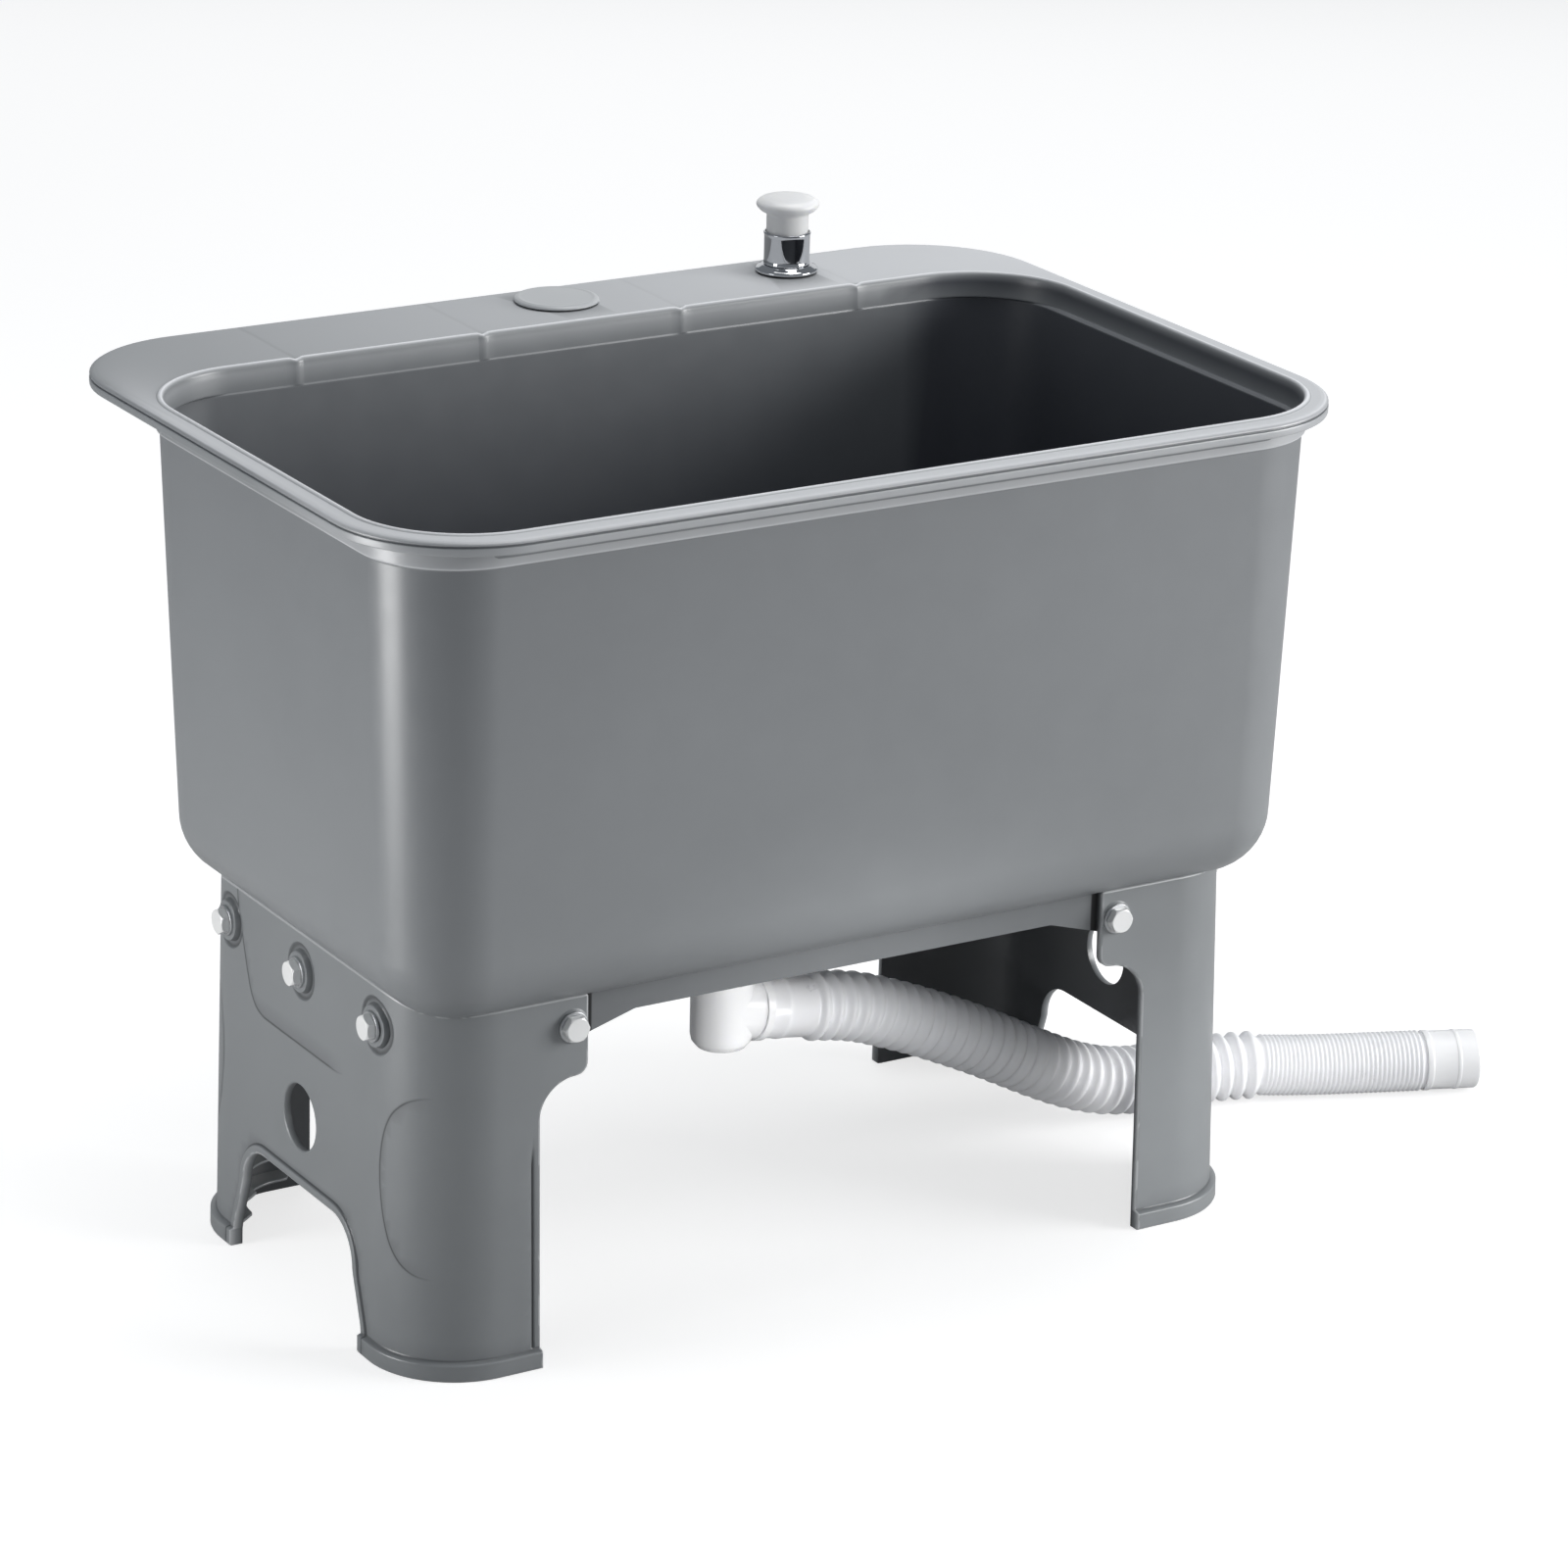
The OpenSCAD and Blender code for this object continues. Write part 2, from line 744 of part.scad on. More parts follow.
module control_flange() {
    r = ctl_flange_d / 2;
    ri = shank_d / 2 + 0.1;
    h = ctl_flange_h;
    color([0.86, 0.87, 0.88])
        translate([ctl_x, deck_y, ctl_z])
            rotate_extrude()
                polygon([[ri, 0], [r - 0.4, 0], [r, 0.5], [r, h * 0.35], [r - 0.9, h * 0.62],
                    [r - 2.6, h * 0.82], [r - 4.4, h], [ri, h]]);
}

module control_body() {
    r = ctl_body_d / 2;
    bore = neck_d / 2 + 0.5;
    z1 = ctl_flange_h;
    color([0.86, 0.87, 0.88])
        translate([ctl_x, deck_y, ctl_z])
            rotate_extrude()
                polygon([[bush_d / 2 + run_gap, z1 - shank_l], [shank_d / 2 - 0.6, z1 - shank_l],
                    [shank_d / 2, z1 - shank_l + 0.8], [shank_d / 2, z1], [r - 0.5, z1],
                    [r, z1 + 0.5], [r, z1 + ctl_body_h - 0.6], [r - 0.5, z1 + ctl_body_h],
                    [bore, z1 + ctl_body_h], [bore, z1 + 2.3], [bush_d / 2 + run_gap, z1 + 2.3]]);
}

module guide_bush() {
    color([0.90, 0.90, 0.86])
        translate([ctl_x, deck_y, well_z])
            difference() {
                union() {
                    cylinder(d = bush_d + 5, h = 1);
                    translate([0, 0, 1 - bush_h])
                        cylinder(d = bush_d, h = bush_h);
                }
                translate([0, 0, -bush_h])
                    cylinder(d = stem_d + 2 * run_gap, h = 2 * bush_h);
            }
}

module press_head() {
    r = head_d / 2;
    h = head_cap_h;
    rn = neck_d / 2;
    z0 = neck_show;
    hang = press_travel + 1.2 - (ctl_top - well_z - 1);
    color([0.80, 0.80, 0.79])
        translate([ctl_x, deck_y, ctl_top])
            rotate_extrude()
                polygon([[stem_d / 2 + 0.02, z0 - 2.5], [rn - 2.5, z0 - 2.5], [rn - 2.5, hang], [rn, hang],
                    [rn, z0 - 1], [rn + 1, z0], [r - 3.2, z0 + 0.8], [r - 0.8, z0 + h * 0.32],
                    [r, z0 + h * 0.5], [r - 0.9, z0 + h * 0.7], [r - 3.4, z0 + h * 0.86],
                    [r - 8, z0 + h * 0.95], [0, z0 + h], [0, z0 + 3], [stem_d / 2 + 0.02, z0 + 3]]);
}

// The stem runs from the head, through the bush, to past its clip
module press_stem() {
    z1 = ctl_top + neck_show + 3 - 0.02;
    z0 = clip_z - 3;
    color([0.75, 0.76, 0.77])
        translate([ctl_x, deck_y, z0])
            cylinder(d = stem_d, h = z1 - z0);
}

module stem_clip() {
    color([0.60, 0.61, 0.62])
        translate([ctl_x, deck_y, clip_z])
            ring_disc(stem_d + 4.6, stem_d + 2 * run_gap, 1.2);
}

// Coil spring round the stem, as one swept wire
spring_turns = 5;
spring_wire = 1.4;
spring_r = 7.4;

module return_spring() {
    z0 = well_z + 1 + spring_wire / 2 + 0.1;
    z1 = ctl_top + neck_show - 2.5 - spring_wire / 2 - 0.1;
    steps = spring_turns * 8;
    points = [for (k = [0:steps]) for (j = [0:5])
        let (a = 45 * k, b = 60 * j, z = z0 + (z1 - z0) * k / steps,
            r = spring_r + spring_wire / 2 * cos(b))
        [r * cos(a), r * sin(a), z + spring_wire / 2 * sin(b)]];
    sides = [for (k = [0:steps - 1]) for (j = [0:5])
        let (a = 6 * k + j, b = 6 * k + (j + 1) % 6) each [[a, a + 6, b + 6], [a, b + 6, b]]];
    color([0.70, 0.71, 0.72])
        translate([ctl_x, deck_y, 0])
            polyhedron(points, concat([[for (j = [0:5]) j]], sides,
                [[for (j = [5:-1:0]) 6 * steps + j]]), convexity = 8);
}

module control_washer() {
    color([0.15, 0.15, 0.16])
        translate([ctl_x, deck_y, under_z - 1.5])
            ring_disc(shank_d + 10, shank_d + 1, 1.5);
}

module control_nut() {
    h = 8;
    color([0.78, 0.68, 0.42])
        translate([ctl_x, deck_y, under_z - 1.5 - h])
            difference() {
                hexagon(shank_d + 8, h);
                translate([0, 0, -1])
                    cylinder(d = shank_d + 2 * thread_gap, h = h + 2);
            }
}

cup_d = waste_hole_d - 2;
cup_wall = 2.2;
spigot_t = 2;
cup_low = floor_z + 1.5 - cup_h;
elbow_top = outlet_z + elbow_d / 2 + 14;
spigot_low = elbow_top - 16;

// Flange, cup and spigot of the waste, about its own axis
module waste_flange() {
    rf = waste_flange_d / 2;
    rc = cup_d / 2;
    rs = spigot_d / 2;
    z0 = floor_z + 1.5;
    color([0.88, 0.88, 0.86])
        translate([0, waste_y, 0])
            difference() {
                rotate_extrude()
                    polygon([[rs - spigot_t, spigot_low], [rs, spigot_low], [rs, cup_low],
                        [rc, cup_low + 4], [rc, z0], [rf, z0], [rf, z0 + 1.2], [rf - 1.5, z0 + 2.2],
                        [rc + 2, z0 + 1.8], [rc - cup_wall, z0 - 1], [rc - cup_wall, cup_low + 5.5],
                        [rs - spigot_t, cup_low + 2]]);
            }
}

module flange_seal() {
    color([0.16, 0.16, 0.17])
        translate([0, waste_y, floor_z])
            ring_disc(waste_flange_d - 3, waste_hole_d, 1.5);
}

module waste_gasket() {
    color([0.16, 0.16, 0.17])
        translate([0, waste_y, bottom_z - 2.5])
            ring_disc(waste_hole_d + 14, cup_d + 0.4, 2.5);
}

module waste_lock_nut() {
    h = 9;
    color([0.90, 0.90, 0.88])
        translate([0, waste_y, bottom_z - 2.5 - h])
            difference() {
                union() {
                    cylinder(d = cup_d + 12, h = h);
                    for (a = [0:45:315])
                        rotate(a)
                            translate([cup_d / 2 + 4, -3, 0])
                                cube([5, 6, h]);
                }
                translate([0, 0, -1])
                    cylinder(d = cup_d + 2 * thread_gap, h = h + 2);
            }
}

// Basket with drain holes, a rim that hangs on the cup's edge and a knob
module strainer_basket() {
    r = cup_d / 2 - cup_wall - 0.8;
    t = 1.4;
    z0 = floor_z + 1.5;
    color([0.78, 0.79, 0.80])
        translate([0, waste_y, z0])
            difference() {
                rotate_extrude()
                    polygon([[0, -basket_h], [r - 3, -basket_h], [r, -basket_h + 3], [r, 2.5],
                        [cup_d / 2 + 3, 2.5], [cup_d / 2 + 3, 3.9], [r - t, 3.9], [r - t, -basket_h + 3.8],
                        [r - 4, -basket_h + t], [3, -basket_h + t], [3, 0], [6, 2], [6, 5], [4, 6], [0, 6]]);
                for (a = [0:30:330])
                    rotate(a)
                        translate([r - 6.5, 0, -basket_h - 1])
                            cylinder(d = basket_hole_d, h = t + 2);
                for (a = [15:60:315])
                    rotate(a)
                        translate([r - 12.5, 0, -basket_h - 1])
                            cylinder(d = basket_hole_d, h = t + 2);
            }
}

module slip_seal() {
    color([0.16, 0.16, 0.17])
        translate([0, waste_y, elbow_top])
            ring_disc(elbow_d - 1, spigot_d + 0.4, 3);
}

// Nut that draws the seal onto the elbow: grips below, closes in above
module slip_nut() {
    ro = elbow_d / 2 + 4.5;
    color([0.93, 0.93, 0.92])
        translate([0, waste_y, elbow_top - 11])
            difference() {
                union() {
                    cylinder(r = ro, h = 18);
                    for (a = [0:30:330])
                        rotate(a)
                            translate([ro - 1, -1.5, 0])
                                cube([2.2, 3, 15]);
                }
                translate([0, 0, -1])
                    cylinder(d = elbow_d + 2 * thread_gap, h = 12);
                translate([0, 0, 10])
                    cylinder(d = elbow_d + 2 * thread_gap, h = 4.1);
                translate([0, 0, 10])
                    cylinder(d = spigot_d + 0.6, h = 10);
            }
}

// Places at the elbow's outlet: +Z runs along the outlet, out of the elbow
module at_outlet() {
    translate([0, 0, outlet_z])
        rotate([0, 90 + outlet_fall, 0])
            children();
}

// Elbow: an upright socket with a rounded heel and an outlet that falls a little
module waste_elbow() {
    r = elbow_d / 2;
    bore = r - 3;
    low = outlet_z - r - 5;
    sock = spigot_d / 2 + 0.2;
    color([0.94, 0.94, 0.93])
        translate([0, waste_y, 0])
            difference() {
                union() {
                    rotate_extrude()
                        polygon([[0, low], [r - 8, low], [r - 3.5, low + 1.3], [r - 0.8, low + 4.6],
                            [r, low + 8], [r, elbow_top], [0, elbow_top]]);
                    at_outlet() {
                        cylinder(r = r - 0.3, h = outlet_l);
                        translate([0, 0, outlet_l - 4.5])
                            cylinder(r = r + 1.2, h = 4.5);
                    }
                }
                translate([0, 0, outlet_z])
                    cylinder(r = bore, h = 60);
                translate([0, 0, spigot_low - 0.5])
                    cylinder(r = sock, h = 60);
                translate([0, 0, outlet_z])
                    sphere(r = bore);
                at_outlet()
                    cylinder(r = bore, h = outlet_l + 5);
            }
}

// Centre line of the hose: straight out of the elbow, then points chosen by hand
// down through the arch and along the floor, with a turn to the front
hose_route = concat(
    [for (t = [0, 14, 27, 40]) let (d = outlet_l + t)
        [d * cos(outlet_fall), waste_y, outlet_z - d * sin(outlet_fall)]],
    [for (p = [[78, 0, 105.1], [92, 0, 101], [110, 0, 94], [129, 0, 86], [150, 0, 76.2], [171, 0, 65.8],
        [193, 0, 54], [215, 0, 42.3], [237, 0, 32], [258, 0, 25], [278, 0, 21.5], [297, -0.4, 20.6],
        [316, -2.4, 20.5], [334, -6.2, 20.5], [352, -11.6, 20.5], [372, -18.6, 19.2], [392, -26.2, 18.5],
        [412, -34, 18.3], [431, -41.6, 18.3], [450, -49.2, 18.3]])
        [p[0], waste_y + p[1], p[2] + (outlet_z - 118) * max(0, p[2] - 25) / 93]]);
hose_sides = 8;
spline_n = 4;

route_n = len(hose_route);

function route_point(k) = hose_route[max(0, min(route_n - 1, k))];

// Point at t between route points k and k + 1, on a curve through all of them
function route_at(k, t) =
    let (a = route_point(k - 1), b = route_point(k), c = route_point(k + 1), d = route_point(k + 2))
    0.5 * (2 * b + (c - a) * t + (2 * a - 5 * b + 4 * c - d) * t * t
        + (3 * b - a - 3 * c + d) * t * t * t);

fine_points = concat([for (k = [0:route_n - 2]) for (i = [0:spline_n - 1]) route_at(k, i / spline_n)],
    [hose_route[route_n - 1]]);

function run_length(list, k, sum, out) =
    k == len(list) ? out
    : let (s = sum + (k == 0 ? 0 : norm(list[k] - list[k - 1])))
        run_length(list, k + 1, s, concat(out, [s]));

route_s = run_length(fine_points, 0, 0, []);
hose_l = route_s[len(route_s) - 1];

function along(s, axis) = lookup(s, [for (k = [0:len(route_s) - 1]) [route_s[k], fine_points[k][axis]]]);

function hose_point(s) = [along(s, 0), along(s, 1), along(s, 2)];

function unit(v) = v / norm(v);

// Direction of the hose, square to what it meets at both ends
function hose_way(s) = unit(hose_point(min(hose_l, s + 3)) - hose_point(max(0, s - 3)));

function hose_ring(s, r) =
    let (p = hose_point(s), w = hose_way(s), side = unit(cross(w, [0, 0, 1])), up = cross(side, w))
    [for (j = [0:hose_sides - 1]) let (a = 360 * j / hose_sides) p + r * (cos(a) * up + sin(a) * side)];

coarse_end = hose_l - fine_l;
coarse_n = floor((coarse_end - cuff_l) / rib_pitch);
fine_n = floor((fine_l - 2) / fine_pitch);

module drain_hose() {
    r1 = hose_d / 2;
    r2 = hose_fine_d / 2;
    outer = concat([[0, cuff_d / 2], [cuff_l, cuff_d / 2]],
        [for (k = [0:coarse_n - 1]) for (h = [0:1])
            [cuff_l + (coarse_end - cuff_l) * (k + 0.35 + h / 2) / coarse_n, r1 - h * rib_deep]],
        [for (k = [0:fine_n - 1]) for (h = [0:1])
            [coarse_end + (fine_l - 2) * (k + 0.35 + h / 2) / fine_n, r2 - h * fine_deep]],
        [[hose_l, r2 - fine_deep]]);
    bore_n = 20;
    inner = [for (k = [bore_n:-1:0]) [hose_l * k / bore_n, hose_bore_d / 2]];
    rings = [for (q = concat(outer, inner)) hose_ring(q[0], q[1])];
    m = hose_sides;
    n = len(rings);
    points = [for (r = rings) for (p = r) p];
    faces = [for (i = [0:n - 1]) for (j = [0:m - 1])
        let (i1 = (i + 1) % n, j1 = (j + 1) % m,
            a = i * m + j, b = i * m + j1, c = i1 * m + j, d = i1 * m + j1)
        each [[a, d, c], [a, b, d]]];
    color([0.92, 0.92, 0.92])
        polyhedron(points, faces, convexity = 10);
}

tail_at = hose_route[route_n - 1];
tail_way = tail_at - hose_route[route_n - 2];

// Plain tail, pushed onto the last rib
module hose_tail() {
    r = tail_d / 2;
    bore = hose_bore_d / 2;
    color([0.94, 0.94, 0.94])
        translate(tail_at)
            rotate([0, 90, atan2(tail_way[1], tail_way[0])])
                rotate_extrude()
                    polygon([[bore, 0.05], [r + 0.5, 0.05], [r + 0.5, 3], [r, 4], [r, tail_l - 0.8],
                        [r - 0.8, tail_l], [bore + 0.4, tail_l], [bore, tail_l - 0.6]]);
}

basin();
left_leg_panel();
right_leg_panel();
front_rail();
back_rail();
left_end_bolts();
right_end_bolts();
front_rail_bolts();
back_rail_bolts();
end_bolt_washers();
rail_bolt_washers();
end_bolt_nuts();
rail_bolt_nuts();
tap_hole_cap();
cap_seal();
control_gasket();
control_flange();
control_body();
guide_bush();
press_head();
press_stem();
stem_clip();
return_spring();
control_washer();
control_nut();
waste_flange();
flange_seal();
waste_gasket();
waste_lock_nut();
strainer_basket();
slip_nut();
slip_seal();
waste_elbow();
drain_hose();
hose_tail();
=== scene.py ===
"""Looks of a freestanding utility sink: a moulded basin with a rear deck on two leg units."""

from __future__ import annotations

import logging
import math
from collections.abc import Iterator
from contextlib import contextmanager
from dataclasses import dataclass, field
from enum import Enum

import bmesh
import bpy
import numpy as np
from mathutils import Matrix, Vector
from mathutils.geometry import delaunay_2d_cdt

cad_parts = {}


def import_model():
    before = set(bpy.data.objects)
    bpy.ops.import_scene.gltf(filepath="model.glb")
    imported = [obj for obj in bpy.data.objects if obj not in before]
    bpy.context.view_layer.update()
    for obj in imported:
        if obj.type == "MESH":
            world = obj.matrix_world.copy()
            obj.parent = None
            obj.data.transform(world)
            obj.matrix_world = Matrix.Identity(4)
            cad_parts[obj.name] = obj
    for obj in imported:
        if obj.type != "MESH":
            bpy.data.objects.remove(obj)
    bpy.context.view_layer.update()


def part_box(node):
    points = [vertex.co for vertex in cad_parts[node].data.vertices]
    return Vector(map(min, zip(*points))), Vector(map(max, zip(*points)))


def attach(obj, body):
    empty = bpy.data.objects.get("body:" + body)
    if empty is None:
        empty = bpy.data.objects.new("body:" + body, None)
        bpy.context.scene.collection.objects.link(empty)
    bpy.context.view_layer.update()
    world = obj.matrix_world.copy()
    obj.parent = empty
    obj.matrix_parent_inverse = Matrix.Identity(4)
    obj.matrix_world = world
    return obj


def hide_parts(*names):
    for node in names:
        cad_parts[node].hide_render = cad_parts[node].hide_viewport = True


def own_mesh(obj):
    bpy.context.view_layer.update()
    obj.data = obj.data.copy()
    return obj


LOG = logging.getLogger("sink")
MM = 0.001
Array = np.ndarray
Colour = tuple[float, float, float]
Colour4 = tuple[float, float, float, float]
Point = tuple[float, float, float]
Socket = bpy.types.NodeSocket
UPRIGHT = (np.array([0, 1.0, 0]), np.array([0, 0, 1.0]))


class Body(Enum):
    """The bodies that pieces ride on."""

    SINK = "sink"
    PRESS = "press"
    CAP = "cap"
    BASKET = "basket"


class Side(Enum):
    """The two ends of the sink, as the sign of x."""

    LEFT = -1
    RIGHT = 1


class Shading(Enum):
    """How a surface's edges are shaded, as the angle in degrees past which an edge is sharp."""

    SOFT = 180.0
    MOULDED = 40.0
    MACHINED = 28.0


class Wiring:
    """Adds nodes to one node tree and links them."""

    def __init__(self, tree: bpy.types.NodeTree) -> None:
        """Start on a tree.

        Args:
            tree: The tree that gets the nodes.
        """
        self.tree = tree

    def feed(self, socket: Socket, value: object) -> None:
        """Link an output to a socket, or set the socket's own value."""
        if isinstance(value, Socket):
            self.tree.links.new(value, socket)
        else:
            socket.default_value = value

    def node(self, kind: str, inputs: dict[str | int, object] | None = None,
             **settings: object) -> bpy.types.Node:
        """Add one node.

        Args:
            kind: The node's type in Blender.
            inputs: A value or an output socket for each named input.
            **settings: Properties of the node.

        Returns:
            The node.
        """
        made = self.tree.nodes.new(kind)
        for name, value in settings.items():
            setattr(made, name, value)
        for name, value in (inputs or {}).items():
            self.feed(made.inputs[name], value)
        return made

    def maths(self, how: str, a: object, b: object, c: object = 0.0) -> Socket:
        """Add a Math node and return its output."""
        return self.node("ShaderNodeMath", {0: a, 1: b, 2: c}, operation=how).outputs[0]

    def blend(self, factor: object, a: object, b: object) -> Socket:
        """Add a colour Mix node and return its colour."""
        made = self.node("ShaderNodeMix", data_type="RGBA", clamp_factor=True)
        for name, value in (("Factor_Float", factor), ("A_Color", a), ("B_Color", b)):
            self.feed(next(s for s in made.inputs if s.identifier == name), value)
        return next(s for s in made.outputs if s.identifier == "Result_Color")

    def remap(self, value: object, low: float, high: float,
              to_low: float = 0.0, to_high: float = 1.0) -> Socket:
        """Add a Map Range node and return its result."""
        made = self.node("ShaderNodeMapRange", {0: value, 1: low, 2: high, 3: to_low, 4: to_high})
        return made.outputs[0]

    def swing(self, noise: object, most: float = 1.0) -> Socket:
        """Spread the middle of a noise, 0.3 to 0.7, over -most to most."""
        return self.remap(noise, 0.3, 0.7, -most, most)

    def own_place(self) -> bpy.types.NodeOutputs:
        """The object's own coordinates x, y and z, as three outputs."""
        where = self.node("ShaderNodeTexCoord").outputs["Object"]
        return self.node("ShaderNodeSeparateXYZ", {0: where}).outputs

    def noise(self, where: object, scale: object, detail: float = 3.0, rough: float = 0.5) -> Socket:
        """Add a Noise Texture and return its value."""
        made = self.node("ShaderNodeTexNoise", {
            "Vector": where, "Scale": scale, "Detail": detail, "Roughness": rough})
        return made.outputs["Fac"]

    def stretched(self, where: object, scale: Point, turn: Point = (0.0, 0.0, 0.0)) -> Socket:
        """Add a Mapping node that stretches and turns coordinates, and return them."""
        made = self.node("ShaderNodeMapping", {"Vector": where, "Scale": scale, "Rotation": turn})
        return made.outputs[0]


class SharedEffects:
    """The node groups that several finishes use, each built once."""

    def __init__(self) -> None:
        """Build the groups."""
        self.moulded = self._moulded_surface()
        self.drawn = self._drawn_lines()

    @staticmethod
    def _empty(name: str, sockets: list[tuple[str, str, str, object]]) -> tuple[bpy.types.NodeTree, Wiring]:
        """Make a group with named sockets.

        Args:
            name: The group's name.
            sockets: For each socket its name, INPUT or OUTPUT, its type and its first value.

        Returns:
            The group and its wiring.
        """
        tree = bpy.data.node_groups.new(name, "ShaderNodeTree")
        for label, side, kind, value in sockets:
            made = tree.interface.new_socket(name=label, in_out=side, socket_type=kind)
            if value is not None:
                made.default_value = value
        return tree, Wiring(tree)

    def _moulded_surface(self) -> bpy.types.NodeTree:
        """Moulded plastic: slow changes of tone, a fine grain, faint scuffs and dust.

        The colour is multiplied by 1 plus slow noise times Tone, and pulled to a paler one where
        stretched noise passes a threshold. The height is fine noise plus a wider, weaker one.

        Returns:
            The group.
        """
        tree, wiring = self._empty("Moulded surface", [
            ("Colour", "INPUT", "NodeSocketColor", (0.5, 0.5, 0.5, 1.0)),
            ("Roughness", "INPUT", "NodeSocketFloat", 0.4),
            ("Tone", "INPUT", "NodeSocketFloat", 0.05),
            ("Grain", "INPUT", "NodeSocketFloat", 900.0),
            ("Scuff", "INPUT", "NodeSocketFloat", 0.3),
            ("Colour", "OUTPUT", "NodeSocketColor", None),
            ("Roughness", "OUTPUT", "NodeSocketFloat", None),
            ("Height", "OUTPUT", "NodeSocketFloat", None)])
        inside = wiring.node("NodeGroupInput").outputs
        place = wiring.node("ShaderNodeTexCoord").outputs["Object"]
        slow = wiring.noise(place, 5.5, 2.0)
        middling = wiring.noise(place, 46.0, 4.0, 0.62)
        tone = wiring.maths("ADD", wiring.swing(slow), wiring.swing(middling, 0.45))
        gain = wiring.maths("MULTIPLY_ADD", tone, inside["Tone"], 1.0)
        toned = wiring.node("ShaderNodeVectorMath", {0: inside["Colour"]}, operation="SCALE")
        tree.links.new(gain, toned.inputs["Scale"])
        lines = wiring.noise(wiring.stretched(place, (26.0, 30.0, 420.0), (0.5, 0.35, 0.2)), 1.0, 3.0, 0.7)
        across = wiring.noise(wiring.stretched(place, (380.0, 24.0, 30.0), (0.2, 0.7, 0.5)), 1.0, 3.0, 0.7)
        rubbed = wiring.maths("MAXIMUM", wiring.remap(lines, 0.66, 0.76), wiring.remap(across, 0.68, 0.78))
        patch = wiring.maths("MULTIPLY", rubbed, wiring.remap(middling, 0.46, 0.62))
        scuff = wiring.maths("MULTIPLY", patch, inside["Scuff"])
        pale = wiring.blend(wiring.maths("MULTIPLY", scuff, 0.10), toned.outputs[0], (0.62, 0.63, 0.64, 1.0))
        fine = wiring.noise(place, inside["Grain"], 3.0, 0.6)
        wide = wiring.noise(place, 160.0, 2.0)
        height = wiring.maths("MULTIPLY_ADD", wide, 0.6, fine)
        rough = wiring.maths("MULTIPLY_ADD", wiring.swing(middling), 0.035, inside["Roughness"])
        rough = wiring.maths("MULTIPLY_ADD", scuff, 0.03, rough)
        wiring.node("NodeGroupOutput", {"Colour": pale, "Roughness": rough, "Height": height})
        return tree

    def _drawn_lines(self) -> bpy.types.NodeTree:
        """Metal: fine lines along two directions, cloudy plating and small dull spots.

        Returns:
            The group.
        """
        tree, wiring = self._empty("Drawn lines", [
            ("Colour", "INPUT", "NodeSocketColor", (0.6, 0.6, 0.6, 1.0)),
            ("Roughness", "INPUT", "NodeSocketFloat", 0.3),
            ("Clouds", "INPUT", "NodeSocketFloat", 0.12),
            ("Colour", "OUTPUT", "NodeSocketColor", None),
            ("Roughness", "OUTPUT", "NodeSocketFloat", None),
            ("Height", "OUTPUT", "NodeSocketFloat", None)])
        inside = wiring.node("NodeGroupInput").outputs
        place = wiring.node("ShaderNodeTexCoord").outputs["Object"]
        clouds = wiring.noise(place, 260.0, 4.0, 0.6)
        gain = wiring.maths("MULTIPLY_ADD", wiring.swing(clouds), inside["Clouds"], 1.0)
        toned = wiring.node("ShaderNodeVectorMath", {0: inside["Colour"]}, operation="SCALE")
        tree.links.new(gain, toned.inputs["Scale"])
        lines = wiring.noise(wiring.stretched(place, (240.0, 240.0, 5200.0)), 1.0, 2.0)
        spots = wiring.remap(wiring.noise(place, 900.0, 2.0), 0.62, 0.7)
        rough = wiring.maths("MULTIPLY_ADD", wiring.swing(clouds), 0.06, inside["Roughness"])
        rough = wiring.maths("MULTIPLY_ADD", spots, 0.12, rough)
        height = wiring.maths("ADD", lines, wiring.maths("MULTIPLY", clouds, 0.5))
        wiring.node("NodeGroupOutput", {"Colour": toned.outputs[0], "Roughness": rough, "Height": height})
        return tree


